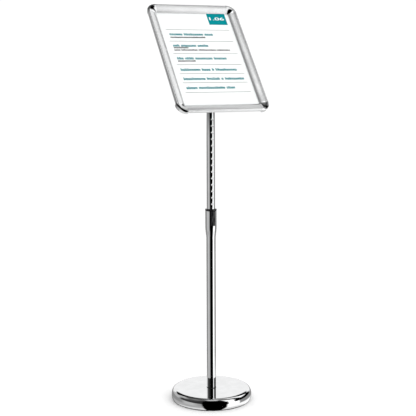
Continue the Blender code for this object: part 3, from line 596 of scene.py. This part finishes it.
def angle_steps(half_fine, fine, coarse):
    """Angles from -Y right round, fine within half_fine degrees of it and coarser beyond."""
    front = [math.radians(-half_fine + 2 * half_fine * i / fine) for i in range(fine)]
    rest = 360 - 2 * half_fine
    return front + [math.radians(half_fine + rest * i / coarse) for i in range(coarse)]


def make_lower_tube():
    """The lower tube: it widens into a bell round the latch, with a window for the button."""
    half_window = BUTTON_HALF_WIDTH + WINDOW_CLEARANCE
    window_angle = math.asin(half_window / (BELL_RADIUS - LOWER_WALL))
    window_low = BUTTON_LOW - 0.9 * MM
    lip = 0.6 * MM
    lip_turn = 0.4 * MM
    taper = BELL_TAPER_TO - BELL_TAPER_FROM

    def radius_at(angle, height):
        share = min(max((height - BELL_TAPER_FROM) / taper, 0), 1)
        ease = share * share * (3 - 2 * share)
        above = max(height - (BELL_TOP - lip), 0) / lip
        return LOWER_RADIUS + (BELL_RADIUS - LOWER_RADIUS) * ease - lip_turn * above * above

    def in_window(angle, height):
        return abs(math.remainder(angle, 2 * math.pi)) < window_angle and height > window_low

    heights = [LOWER_FROM, LOWER_FROM + 0.3 * MM, BELL_TAPER_FROM - 2 * MM]
    heights += [BELL_TAPER_FROM + taper * i / 32 for i in range(33)]
    heights += [window_low + (BELL_TOP - lip - window_low) * i / 8 for i in range(8)]
    heights += [BELL_TOP - lip + lip * i / 5 for i in range(6)]
    angles = angle_steps(math.degrees(window_angle), fine=20, coarse=100)
    bm = bmesh.new()
    add_shell_grid(bm, radius_at, angles, heights, LOWER_WALL, in_window)
    piece("lower_post", bm, "chrome", "stand", "chrome", "lower_tube", sharp=40)


def make_guide_sleeve():
    """The black bush in the bell: a rim on top, and under it a C round the rocker's pocket."""
    inner = UPPER_RADIUS + 0.25 * MM
    body = BELL_RADIUS - LOWER_WALL - GAP
    edge = 0.9 * MM
    under_edge = 0.3 * MM
    lead_in = 0.4 * MM
    outline = arc((RIM_RADIUS - edge, RIM_HIGH - edge), edge, 90, 0, 7)
    outline += [(RIM_RADIUS, RIM_LOW + under_edge), (RIM_RADIUS - under_edge, RIM_LOW),
                (body, RIM_LOW), (body, SLEEVE_STEP), (inner, SLEEVE_STEP),
                (inner, RIM_HIGH - lead_in), (inner + lead_in, RIM_HIGH)]
    bm = bmesh.new()
    add_turned(bm, outline, steps=128)
    opening = math.degrees(math.asin((BUTTON_HALF_WIDTH + WINDOW_CLEARANCE) / body))
    section = arc((0, 0), body, opening - 90, 270 - opening, 90)
    section += arc((0, 0), inner, 270 - opening, opening - 90, 90)
    add_prism(bm, section, SLEEVE_LOW, SLEEVE_STEP)
    pocket_back = POCKET_FLOOR_Y + POCKET_FLOOR
    pocket_floor = [(-BUTTON_HALF_WIDTH, POCKET_FLOOR_Y), (BUTTON_HALF_WIDTH, POCKET_FLOOR_Y),
                    (BUTTON_HALF_WIDTH, pocket_back), (-BUTTON_HALF_WIDTH, pocket_back)]
    pocket_floor_top = LATCH_Z - 5 * MM
    add_prism(bm, pocket_floor, SLEEVE_LOW, pocket_floor_top)
    piece("guide_bush", bm, "black_plastic", "stand", "black_plastic", "guide_sleeve")


def button_face_y(x, z):
    """The thumb pad: the bell's roundness, soft edges, and a dish with three raised chevrons."""
    round_off = 0.0
    for off in (BUTTON_HALF_WIDTH - abs(x), BUTTON_HALF_HEIGHT - abs(z - BUTTON_MIDDLE)):
        if off < BUTTON_EDGE:
            height = math.sqrt(max(BUTTON_EDGE ** 2 - (BUTTON_EDGE - off) ** 2, 0))
            round_off += BUTTON_EDGE - height
    out = math.sqrt(BUTTON_RADIUS ** 2 - x * x) - round_off
    reach = math.hypot(x / DISH_HALF_WIDTH, (z - DISH_Z) / DISH_HALF_HEIGHT)
    if reach < 1:
        out -= DISH_DEPTH * (1 - reach * reach) ** 2 * (1.6 - 0.6 * reach)
        for k in (-1, 0, 1):
            off = abs(z - (DISH_Z + k * RIB_PITCH) + abs(x) * RIB_SLANT)
            if off < RIB_HALF:
                fade = min(1.0, (1 - reach) * 4)
                out += RIB_HEIGHT * fade * math.cos(math.pi / 2 * off / RIB_HALF) ** 2
    return max(-out, -BUTTON_RADIUS)


def add_button(bm):
    """The pad as a grid over its face, closed by its sides and a flat back."""
    columns, rows = 40, 110
    across = [BUTTON_HALF_WIDTH * math.sin(math.pi / 2 * (2 * c / columns - 1))
              for c in range(columns + 1)]
    grid = []
    for r in range(rows + 1):
        z = BUTTON_LOW + 2 * BUTTON_HALF_HEIGHT * r / rows
        grid.append([bm.verts.new((x, button_face_y(x, z), z)) for x in across])
    for r in range(rows):
        for c in range(columns):
            bm.faces.new((grid[r][c], grid[r][c + 1], grid[r + 1][c + 1], grid[r + 1][c]))
    border = (grid[0] + [row[-1] for row in grid[1:]] + grid[-1][-2::-1]
              + [row[0] for row in grid[-2:0:-1]])
    back = [bm.verts.new((v.co.x, BUTTON_BACK_Y, v.co.z)) for v in border]
    bridge(bm, (border, back))
    bm.faces.new(back)


def make_latch():
    """The rocker: its button, two arms with pivot stubs, and the tooth that sits in a notch."""
    bm = bmesh.new()
    add_button(bm)
    arm = rounded_rectangle((ARM_FRONT_Y, ROCKER.z - ARM_HALF_HEIGHT),
                            (ARM_BACK_Y, ROCKER.z + ARM_HALF_HEIGHT), 1 * MM)
    arm_half = 0.6 * MM
    stub_radius = 1 * MM
    stub_length = 2.2 * MM
    tooth_half = 4 * MM
    for side in (-1, 1):
        x = side * ARM_X
        add_prism(bm, arm, -arm_half, arm_half, Matrix.Translation((x, 0, 0)) @ ACROSS)
        low, high = sorted((0, side * stub_length))
        add_prism(bm, circle(stub_radius, 24), low, high,
                  Matrix.Translation((x, ROCKER.y, ROCKER.z)) @ ACROSS)
    add_prism(bm, circle(NOTCH_RADIUS - GAP, 36), -tooth_half, tooth_half,
              Matrix.Translation((0, TOOTH_Y, LATCH_Z)) @ ACROSS)
    piece("latch_rocker", bm, "black_plastic", "latch", "black_plastic", "latch_button", sharp=50)


def make_upper_tube():
    """The upper tube, with a row of pressed notches down its front."""
    lowest = LATCH_Z - NOTCHES_BELOW * NOTCH_PITCH
    blend = 0.15 * MM

    def radius_at(angle, height):
        toward = math.cos(angle)
        step = min(max(round((height - lowest) / NOTCH_PITCH), 0), NOTCHES - 1)
        off = height - (lowest + NOTCH_PITCH * step)
        if abs(off) >= NOTCH_RADIUS or toward <= 0:
            return UPPER_RADIUS
        cut = (-TOOTH_Y - math.sqrt(NOTCH_RADIUS ** 2 - off * off)) / toward
        # A smooth minimum rounds the notch's edge as pressing and plating do.
        mixing = min(max(0.5 + (UPPER_RADIUS - cut) / (2 * blend), 0), 1)
        return (UPPER_RADIUS * (1 - mixing) + cut * mixing) - blend * mixing * (1 - mixing)

    half_notch = math.sqrt(NOTCH_RADIUS ** 2 - (NOTCH_RADIUS - NOTCH_DEPTH) ** 2)
    reach = half_notch + 0.3 * MM
    heights = [UPPER_FROM, UPPER_FROM + 0.3 * MM]
    for n in range(NOTCHES):
        centre = lowest + n * NOTCH_PITCH
        heights += [centre - reach + 2 * reach * i / 16 for i in range(17)]
    heights += [UPPER_TO - 0.3 * MM, UPPER_TO]
    bm = bmesh.new()
    angles = angle_steps(half_fine=27, fine=36, coarse=84)
    add_shell_grid(bm, radius_at, angles, heights, UPPER_WALL)
    piece("upper_post_tube", bm, "chrome", "upper_post", "chrome", "upper_tube", sharp=60)


# ---------------- tilt joint

def make_post_head():
    """The plug in the upper tube's top, with its flange and the eye that the sign tilts on."""
    flange_low = UPPER_TO + GAP
    flange_high = flange_low + HEAD_FLANGE
    plug = UPPER_RADIUS - UPPER_WALL - GAP
    edge = 0.7 * MM
    middle = 0.5 * MM
    outline = [(middle, flange_high), (UPPER_RADIUS - edge, flange_high)]
    outline += arc((UPPER_RADIUS - edge, flange_high - edge), edge, 90, 0, 5)[1:]
    outline += [(UPPER_RADIUS, flange_low), (plug, flange_low), (plug, UPPER_TO - PLUG_LENGTH),
                (middle, UPPER_TO - PLUG_LENGTH)]
    bm = bmesh.new()
    add_turned(bm, outline, steps=96)
    foot = flange_low + 1 * MM - PIVOT.z
    foot_half = EYE_RADIUS - 0.4 * MM
    eye = arc((0, 0), EYE_RADIUS, -8, 188, 40) + [(-foot_half, foot), (foot_half, foot)]
    add_bored_prism(bm, eye, -EYE_HALF, EYE_HALF, Matrix.Translation(PIVOT) @ ACROSS)
    head = piece("tilt_head", bm, "zinc_steel", "upper_post", "zinc_steel", "post_head")
    soften(head, 0.5 * MM)


def cheek_outline():
    """A bracket cheek in (out of the sheet, up it): round about the bolt, with a filleted foot."""
    foot = PLATE_BACK + WELD
    fillet = 5 * MM
    top_fillet = 3 * MM
    outline = arc((0, 0), EYE_RADIUS, 85, 275, 30)
    outline += arc((foot - fillet, CHEEK_LOW_Y + 2 * MM - fillet), fillet, 78, 0, 8)
    outline.append((foot, CHEEK_HIGH_Y))
    outline += arc((foot - top_fillet, CHEEK_HIGH_Y), top_fillet, 0, 90, 6)[1:]
    return [(n, y) for n, y in outline if y >= CHEEK_LOW_Y]


def make_bracket():
    """The folded steel bracket: a plate with rounded corners, two cheeks and four weld nuts."""
    bm = bmesh.new()
    plate = rounded_rectangle((bracket_low.x, bracket_low.y), (bracket_high.x, bracket_high.y),
                              PLATE_CORNER)
    add_prism(bm, plate, PLATE_BACK, PLATE_FRONT, PANEL)
    for side in (-1, 1):
        middle = side * (CHEEK_INNER + CHEEK_WALL / 2)
        place = PANEL @ Matrix(((0, 0, -1, middle), (0, 1, 0, 0), (1, 0, 0, 0), (0, 0, 0, 1)))
        add_bored_prism(bm, cheek_outline(), -CHEEK_WALL / 2, CHEEK_WALL / 2, place)
    for x in (-SCREW_X, SCREW_X):
        for y in SCREW_Y:
            add_prism(bm, circle(NUT_FLATS / math.sqrt(3), 6, (x, y)),
                      PLATE_BACK - NUT_HEIGHT, PLATE_BACK + WELD, PANEL)
    bracket = piece("frame_bracket", bm, "black_paint", "panel", "black_paint", "tilt_bracket")
    soften(bracket, 0.6 * MM)


def knob_profile():
    """The knob's outline from its foot, as (height, 1 where the lobes add to it, plain radius)."""
    depth = KNOB_TO - KNOB_FROM
    bore = BOLT_RADIUS + GAP
    chamfer = 0.6 * MM
    profile = [(0.0, 0, bore), (0.0, 0, KNOB_HUB_RADIUS - chamfer), (chamfer, 0, KNOB_HUB_RADIUS),
               (depth - KNOB_GRIP - 1 * MM, 0, KNOB_HUB_RADIUS),
               (depth - KNOB_GRIP, 0, KNOB_HUB_RADIUS + 0.8 * MM)]
    turns = [math.pi / 2 * i / 6 for i in range(7)]
    profile += [(depth - KNOB_GRIP + KNOB_EDGE * (1 - math.cos(turn)), 1,
                 -KNOB_EDGE * (1 - math.sin(turn))) for turn in turns]
    profile += [(depth - KNOB_EDGE * (1 - math.sin(turn)), 1,
                 -KNOB_EDGE * (1 - math.cos(turn))) for turn in turns]
    # The face ends in a ring groove round its cap.
    return profile + [(depth - 0.1 * MM, 0, 9.6 * MM), (depth - 0.9 * MM, 0, 9.0 * MM),
                      (depth - 0.9 * MM, 0, 8.4 * MM), (depth - 0.3 * MM, 0, 7.8 * MM),
                      (depth - 0.2 * MM, 0, bore)]


def make_knob():
    """A five-lobed knob with a domed face, a recessed cap and a turned hub."""
    steps = 150
    bm = bmesh.new()
    rings = []
    for height, share, radius in knob_profile():
        ring = []
        for i in range(steps):
            angle = 2 * math.pi * i / steps
            lobed = KNOB_RADIUS - LOBE_DEPTH + LOBE_DEPTH * math.cos(LOBES * angle)
            reach = radius + share * lobed
            ring.append(bm.verts.new(PIVOT + Vector((KNOB_FROM + height, reach * math.cos(angle),
                                                     reach * math.sin(angle)))))
        rings.append(ring)
    bridge(bm, rings, closed=True)
    piece("clamp_knob", bm, "black_plastic", "knob", "black_plastic", "tilt_knob", sharp=40)


# ---------------- snap frame

def side_matrix(side):
    """From a rail section's (q, n, along) axes to the row frame: q runs inwards from the edge."""
    inwards = {"left": Vector((1, 0, 0)), "right": Vector((-1, 0, 0)),
               "top": Vector((0, -1, 0)), "bottom": Vector((0, 1, 0))}[side]
    out = Vector((0, 0, 1))
    reach = OUTER_WIDTH / 2 if side in ("left", "right") else OUTER_HEIGHT / 2
    origin = Vector((0, PANEL_CENTRE_Y, SHEET_Z)) - inwards * reach
    axes = Matrix((inwards, out, inwards.cross(out))).transposed().to_4x4()
    return PANEL @ Matrix.Translation(origin) @ axes


def rounding_centre(q, radius):
    """Centre, at this q, of a rounding that touches the clamp's sloping face from below."""
    return (q, FACE_OUTER_N + FACE_SLOPE * q - radius * math.hypot(1, FACE_SLOPE))


SHOULDER = rounding_centre(SHOULDER_RADIUS, SHOULDER_RADIUS)
LIP = rounding_centre(RAIL_WIDTH - LIP_RADIUS, LIP_RADIUS)


def lip_arc(offset, low_n, count):
    """The inner edge moved out by offset, from its height low_n up to the sloping face."""
    radius = LIP_RADIUS + offset
    low_angle = math.degrees(math.asin((low_n - LIP[1]) / radius))
    return arc(LIP, radius, low_angle, FACE_ANGLE, count)


def shoulder_arc(offset, end_angle, count, start_angle=FACE_ANGLE):
    """The outer edge moved out by offset, from the sloping face round to end_angle."""
    return arc(SHOULDER, SHOULDER_RADIUS + offset, start_angle, end_angle, count)


def bowed_face(offset):
    """Points between the lip and the shoulder on a face that swells slightly in its middle."""
    slope = math.radians(FACE_ANGLE)
    start = lip_arc(offset, GAP, 2)[-1]
    end = shoulder_arc(offset, 180, 2)[0]
    points = []
    for i in range(1, 11):
        share = i / 11
        swell = FACE_SWELL * 4 * share * (1 - share)
        points.append((start[0] + (end[0] - start[0]) * share + swell * math.cos(slope),
                       start[1] + (end[1] - start[1]) * share + swell * math.sin(slope)))
    return points


def clamp_section():
    """The hinged cover: a rounded shoulder, a sloping face, a lip on the sheet and a bead."""
    points = lip_arc(0, GAP, 13) + bowed_face(0) + shoulder_arc(0, 180, 25)
    points += shoulder_arc(0, SHOULDER_END, 9, start_angle=180)[1:]
    points += arc((HINGE_Q, HINGE_N), BEAD_RADIUS, BEAD_FROM, BEAD_TO, 25)
    inside = lip_arc(-RAIL_WALL, GAP, 7) + shoulder_arc(-RAIL_WALL, SHOULDER_INNER_END, 25)
    return points + inside[::-1]


def cap_section():
    """A corner cap's wall: the clamp's shape, a little prouder, carried down to the back."""
    inner = CAP_PROUD - CAP_WALL
    low_n = GAP + 0.2 * MM
    points = lip_arc(CAP_PROUD, low_n, 13) + bowed_face(CAP_PROUD)
    points += shoulder_arc(CAP_PROUD, 180, 29)
    points += [(CAP_FOOT_Q, CAP_BACK_N), (CAP_FOOT_Q + CAP_WALL, CAP_BACK_N)]
    return points + (lip_arc(inner, low_n, 7) + shoulder_arc(inner, 180, 25))[::-1]


def make_rails():
    """The four hinged clamps, each a straight length of the same section."""
    section = supported(clamp_section())
    for side in ("top", "bottom", "left", "right"):
        upright = side in ("left", "right")
        half = (OUTER_HEIGHT if upright else OUTER_WIDTH) / 2 - CORNER_RADIUS - GAP
        bm = bmesh.new()
        add_prism(bm, section, -half, half, side_matrix(side))
        piece(f"snap_rail_{side}", bm, "satin_aluminium_y" if upright else "satin_aluminium_x",
              f"clamp_{side}", "satin_aluminium", f"clamp_rail_{side}", sharp=40)


def make_corner_caps():
    """The four plated elbows: the cap's section swept round a quarter turn."""
    section = supported(cap_section())
    corners = {"top_right": (1, 1, 0), "top_left": (-1, 1, 90),
               "bottom_left": (-1, -1, 180), "bottom_right": (1, -1, 270)}
    steps = 40
    for name, (sx, sy, turn) in corners.items():
        centre = Vector((sx * (OUTER_WIDTH / 2 - CORNER_RADIUS),
                         PANEL_CENTRE_Y + sy * (OUTER_HEIGHT / 2 - CORNER_RADIUS), SHEET_Z))
        bm = bmesh.new()
        rings = []
        for i in range(steps + 1):
            angle = math.radians(turn + 90 * i / steps)
            outwards = Vector((math.cos(angle), math.sin(angle), 0))
            rings.append([bm.verts.new(PANEL @ (centre + (CORNER_RADIUS - q) * outwards
                                                + Vector((0, 0, n)))) for q, n in section])
        add_loft(bm, rings)
        piece(f"corner_elbow_{name}", bm, "chrome", "panel", "chrome", f"corner_cap_{name}",
              sharp=40)


# ---------------- printed sheet

INK = 0.04 * MM              # height of a printed mark on the poster
UNDER_INK = 0.01 * MM        # height of its underside
LAYOUT_WIDTH = 277 * MM      # the layout's own measure, fitted to the visible window
LAYOUT_HEIGHT = 400 * MM
MARGIN = 19 * MM             # of the rules, inside the visible window
RIGHT_MARGIN = 15 * MM
INDENT = 27 * MM             # of the text
RULE = 1.8 * MM
X_HEIGHT = 0.74              # of a plain letter, as a share of a tall one
LETTER = 0.88                # a letter's width, as a share of its advance
WORD_SPACE = 0.7
ADVANCE = {"teal_text": 0.709, "dark_ink": 0.746}      # of a letter, for each unit of height

# Each entry of the directory: (height of its rule, its lines), in mm above the window's foot.
# A line is (kind, height, word lengths in letters).
HEADING = ("teal_text", 11.4 * MM)
NOTE = ("dark_ink", 7.4 * MM)
ENTRIES = (
    (325.5, ((HEADING, 305.5, (6, 9, 4)), (NOTE, 292.0, (24,)))),
    (274.0, ((HEADING, 255.0, (3, 7, 5)), (NOTE, 246.0, (10,)), (NOTE, 235.8, (4, 11, 12, 9)))),
    (219.0, ((HEADING, 199.0, (3, 4, 8, 6)), (NOTE, 188.0, (12,)))),
    (171.0, ((HEADING, 150.0, (9, 4, 1, 10)),)),
    (132.5, ((HEADING, 111.0, (10, 6, 1, 9)),)),
    (94.0, ((HEADING, 73.0, (5, 12, 4)),)),
    (53.0, ()),
)
BADGE_LEFT = 192 * MM
BADGE_FOOT = 350 * MM
BADGE_WIDTH = 72 * MM
BADGE_HEIGHT = 58 * MM       # it ends under the top clamp
NUMBER_LEFT = 199 * MM
NUMBER_FOOT = 371 * MM
NUMBER_WIDTH = 57 * MM
NUMBER_HEIGHT = 13.5 * MM


def sheet_point(x, y, lift):
    """A point on the poster: x and y of the layout, from the visible window's lower left corner."""
    across = (x / LAYOUT_WIDTH - 0.5) * WINDOW_WIDTH
    up = (y / LAYOUT_HEIGHT - 0.5) * WINDOW_HEIGHT
    return PANEL @ Vector((across, PANEL_CENTRE_Y + up, poster_high.z + lift))


def add_mark(bm, x, y, width, height):
    """A thin printed bar with its lower left corner at x, y."""
    corners = ((x, y), (x + width, y), (x + width, y + height), (x, y + height))
    add_loft(bm, [[bm.verts.new(sheet_point(a, b, lift)) for a, b in corners]
                  for lift in (UNDER_INK, INK)])


def add_glyph(bm, x, y, width, height, chance):
    """One unreadable stand-in for a letter, built from two stems and one or two bars."""
    stem = 0.42 * width
    bar = 0.28 * height
    low = height * X_HEIGHT
    add_mark(bm, x, y, stem, chance.choice((low, low, low, height)))
    add_mark(bm, x + width - stem, y, stem, low)
    add_mark(bm, x + stem, chance.choice((y, y + low - bar)), width - 2 * stem, bar)
    if chance.random() < 0.6:
        add_mark(bm, x + stem, y + height * 0.30, width - 2 * stem, bar * 0.8)


def add_text_line(bm, x, middle, ink, height, words, chance):
    """A line of glyphs from x, centred at the height called middle."""
    advance = height * ADVANCE[ink]
    for letters in words:
        for _ in range(letters):
            add_glyph(bm, x, middle - height / 2, advance * LETTER, height, chance)
            x += advance
        x += advance * WORD_SPACE


def make_print():
    """A directory in unreadable stand-in text, under a badge with a floor and room number."""
    chance = random.Random(5)
    names = {"teal_text": "print_headings", "teal_ink": "print_badge",
             "dark_ink": "print_notes", "grey_ink": "print_rules"}
    meshes = {ink: bmesh.new() for ink in names}
    for rule_y, lines in ENTRIES:
        add_mark(meshes["grey_ink"], MARGIN, rule_y * MM - RULE / 2,
                 LAYOUT_WIDTH - MARGIN - RIGHT_MARGIN, RULE)
        for (ink, height), line_y, words in lines:
            add_text_line(meshes[ink], INDENT, line_y * MM, ink, height, words, chance)
    add_mark(meshes["teal_ink"], BADGE_LEFT, BADGE_FOOT, BADGE_WIDTH, BADGE_HEIGHT)
    for ink, name in names.items():
        piece(name, meshes[ink], ink, "panel", "paper")


def make_badge_number():
    """The badge's number, from Blender's own font, fitted to its place on the badge."""
    text = bpy.data.curves.new("badge_number", "FONT")
    text.body = "1.06"
    text.extrude = 0.5
    text.offset = 0.012
    source = add_object("badge_text", text)
    bpy.context.view_layer.update()
    mesh = bpy.data.meshes.new_from_object(
        source.evaluated_get(bpy.context.evaluated_depsgraph_get()))
    bpy.data.objects.remove(source)
    bm = bmesh.new()
    bm.from_mesh(mesh)
    low, high = extent([v.co for v in bm.verts])
    above_badge = 0.05 * MM
    for v in bm.verts:
        x, y, z = ((v.co[i] - low[i]) / (high[i] - low[i]) for i in range(3))
        v.co = sheet_point(NUMBER_LEFT + NUMBER_WIDTH * x, NUMBER_FOOT + NUMBER_HEIGHT * y,
                           above_badge + INK * z)
    piece("print_badge_number", bm, "white_ink", "panel", "paper")


# ---------------- CAD nodes that stay

# The start of a node's name decides its material.
NODES_IN = {
    "cast_iron": ("base_weight",),
    "zinc_steel": ("base_bolt", "base_washer", "tube_insert", "head_pin", "bracket_screw",
                   "tilt_bolt", "knob_washer", "corner_connector"),
    "spring_steel": ("button_spring", "clamp_spring"),
    "nylon": ("tube_glider", "friction_washer"),
    "clear_sheet": ("cover_sheet",),
    "paper": ("poster",),
    "back_board": ("back_board",),
    "satin_aluminium_x": ("base_rail_top", "base_rail_bottom"),
    "satin_aluminium_y": ("base_rail_left", "base_rail_right"),
}


def finish_cad_nodes():
    """Materials and small edge rounding for the nodes that are shown as they are."""
    for name, node in frame["nodes"].items():
        if node.hide_render:
            continue
        material = next(m for m, starts in NODES_IN.items() if name.startswith(starts))
        node.data.materials.clear()
        node.data.materials.append(materials[material])
        if not name.startswith(("cover_sheet", "poster", "back_board")):
            soften(node, 0.15 * MM)


# ---------------- stage

CAMERA_AZIMUTH = math.radians(24.39)      # from straight in front, towards -X
CAMERA_DISTANCE = 3.341
CAMERA_HEIGHT = 1.161
CAMERA_PITCH = math.radians(8.26)         # downwards
CAMERA_ROLL = math.radians(-0.21)
CAMERA_TURN = math.radians(0.17)
CAMERA_LENS = 85.2
FLOOR_RADIUS = 40.0
DOME_RADIUS = 12.0
WORLD_STRENGTH = 1.06
SOFTBOX_SIZE = 2.4
SOFTBOX_WATTS = 30
SOFTBOX_PLACE = Vector((1.6, -2.4, 3.2))
SOFTBOX_AIM = Vector((0, 0, 0.7))


def make_camera():
    """The photograph's viewpoint."""
    data = bpy.data.cameras.new("camera")
    data.lens = CAMERA_LENS
    data.sensor_width = 36.0
    camera = add_object("camera", data)
    camera.location = (-CAMERA_DISTANCE * math.sin(CAMERA_AZIMUTH),
                       -CAMERA_DISTANCE * math.cos(CAMERA_AZIMUTH), CAMERA_HEIGHT)
    turn = (Matrix.Rotation(-CAMERA_AZIMUTH + CAMERA_TURN, 3, "Z")
            @ Matrix.Rotation(math.pi / 2 - CAMERA_PITCH, 3, "X")
            @ Matrix.Rotation(CAMERA_ROLL, 3, "Z"))
    camera.rotation_euler = turn.to_euler()
    bpy.context.scene.camera = camera


def make_floor():
    """A pale floor, out of sight of the metal, which sees the studio cards instead."""
    tree, shader = new_material("floor")
    tone = noise(tree, 3, detail=3)
    tree.links.new(mixed(tree, tone, grey(0.965), grey(0.975)), shader.inputs["Base Color"])
    shader.inputs["Roughness"].default_value = 0.8
    shader.inputs["Specular IOR Level"].default_value = 0.1
    bm = bmesh.new()
    bmesh.ops.create_circle(bm, cap_ends=True, segments=96, radius=FLOOR_RADIUS)
    floor = finish_mesh("floor", bm, "floor", smooth=False)
    floor.visible_glossy = False


# What polished metal sees, in bands from the lowest up: (lowest elevation, softness, stops).
# A stop is (azimuth from the camera's side, positive to its right; brightness).
WHITE_CARD = 1.5
SOFT_CARD = 1.2
GREY_CARD = 0.56
BACKDROP = 1.02
DARK = 0.0
LOW_LEFT = ((-180, 0.28), (-95, 0.32), (-80, 0.58), (-55, 0.60), (-35, 0.40))
STUDIO_BANDS = (
    (-90, 1, ((-26, 0.80), (-22, DARK), (43, DARK), (48, 0.80))),
    (-38, 3, ((-150, 0.30), (-140, 0.48), (-26, 0.48), (-22, DARK), (43, DARK),
              (48, SOFT_CARD), (140, SOFT_CARD), (160, 0.60), (180, 0.30))),
    (-20, 2, (*LOW_LEFT, (-28, 0.36), (-24, DARK), (43, DARK), (48, WHITE_CARD),
              (84, WHITE_CARD), (90, 0.30), (180, 0.28))),
    (-10, 2, (*LOW_LEFT, (-29, 0.36), (-25, DARK), (47, DARK), (52, WHITE_CARD),
              (82, WHITE_CARD), (88, 0.30), (180, 0.28))),
    (-1, 2, ((-148, BACKDROP), (-140, GREY_CARD), (-110, GREY_CARD), (-95, 0.06), (-29, 0.03),
             (-25, DARK), (47, DARK), (52, WHITE_CARD), (66, WHITE_CARD), (72, DARK),
             (140, DARK), (150, BACKDROP))),
    (24, 3, ((-132, DARK), (-120, GREY_CARD), (-100, GREY_CARD), (-80, 0.12), (-29, 0.03),
             (-25, DARK), (40, DARK), (48, SOFT_CARD), (72, SOFT_CARD), (80, DARK),
             (96, DARK), (102, SOFT_CARD), (129, SOFT_CARD), (135, DARK))),
    (46, 3, ((-180, 0.60), (-165, 0.05), (-110, 0.10), (-70, 0.25), (-20, DARK), (40, DARK),
             (48, 1.00), (64, 1.00), (70, DARK), (100, DARK), (106, 1.05), (124, 1.05),
             (132, 0.72))),
    (66, 3, ((-180, 0.03), (-90, 0.10), (-40, 0.25), (-16, 1.30), (30, 1.30), (56, 0.04),
             (180, 0.03))),
    (78, 3, ((0, 0.20),)),
)


def graded(tree, degrees, stops):
    """A grey that runs through stops of (angle, brightness), and stays even beyond the last."""
    share = add_node(tree, "MapRange", {"Value": degrees, "From Min": -180, "From Max": 180})
    ramp = add_node(tree, "ValToRGB", {"Fac": share.outputs["Result"]})
    elements = ramp.color_ramp.elements
    elements.remove(elements[-1])
    for i, (angle, brightness) in enumerate(stops):
        place = (angle + 180) / 360
        element = elements[0] if i == 0 else elements.new(place)
        element.position = place
        element.color = grey(brightness)
    return ramp.outputs["Color"]


def studio_material():
    """Light by direction: the bands one above the other, each graded round the dome."""
    tree, shader = new_material("studio_cards")
    tree.nodes.remove(shader)
    place = add_node(tree, "TexCoord", {}).outputs["Object"]
    x, y, z = add_node(tree, "SeparateXYZ", {"Vector": place}).outputs
    around = calculated(tree, "ARCTAN2", x, calculated(tree, "MULTIPLY", y, -1.0))
    azimuth = calculated(tree, "DEGREES", around)
    up = calculated(tree, "ARCSINE", calculated(tree, "DIVIDE", z, DOME_RADIUS))
    elevation = calculated(tree, "DEGREES", up)
    colour = graded(tree, azimuth, STUDIO_BANDS[0][2])
    for from_angle, softness, stops in STUDIO_BANDS[1:]:
        share = spread(tree, elevation, from_angle - softness, from_angle + softness)
        colour = mixed(tree, share, colour, graded(tree, azimuth, stops))
    glow = add_node(tree, "Emission", {"Color": colour}).outputs["Emission"]
    tree.links.new(glow, tree.nodes["Material Output"].inputs["Surface"])
    materials["studio_cards"].cycles.emission_sampling = "NONE"


def make_dome():
    """The studio that shows in polished metal: grey and white cards round a dark camera side."""
    studio_material()
    bm = bmesh.new()
    bmesh.ops.create_uvsphere(bm, u_segments=64, v_segments=32, radius=DOME_RADIUS)
    dome = finish_mesh("studio_cards", bm, "studio_cards")
    dome.rotation_euler.z = -CAMERA_AZIMUTH
    dome.location.z = PIVOT.z / 2
    for ray in ("camera", "diffuse", "transmission", "volume_scatter", "shadow"):
        setattr(dome, "visible_" + ray, False)


def make_light():
    """A plain white world, and one soft lamp above on the right for the shadow at the foot."""
    world = bpy.data.worlds.new("studio")
    world.use_nodes = True
    background = world.node_tree.nodes["Background"]
    background.inputs["Color"].default_value = grey(1)
    background.inputs["Strength"].default_value = WORLD_STRENGTH
    bpy.context.scene.world = world
    bpy.context.scene.view_settings.view_transform = "Standard"
    data = bpy.data.lights.new("softbox", "AREA")
    data.shape = "SQUARE"
    data.size = SOFTBOX_SIZE
    data.energy = SOFTBOX_WATTS
    softbox = add_object("softbox", data)
    softbox.location = SOFTBOX_PLACE
    softbox.rotation_euler = (SOFTBOX_AIM - SOFTBOX_PLACE).to_track_quat("-Z", "Y").to_euler()
    softbox.visible_glossy = False


make_base_shell()
make_floor_pad()
make_foot_seal()
make_lower_tube()
make_guide_sleeve()
make_latch()
make_upper_tube()
make_post_head()
make_bracket()
make_knob()
make_rails()
make_corner_caps()
make_print()
make_badge_number()
finish_cad_nodes()
make_camera()
make_floor()
make_dome()
make_light()
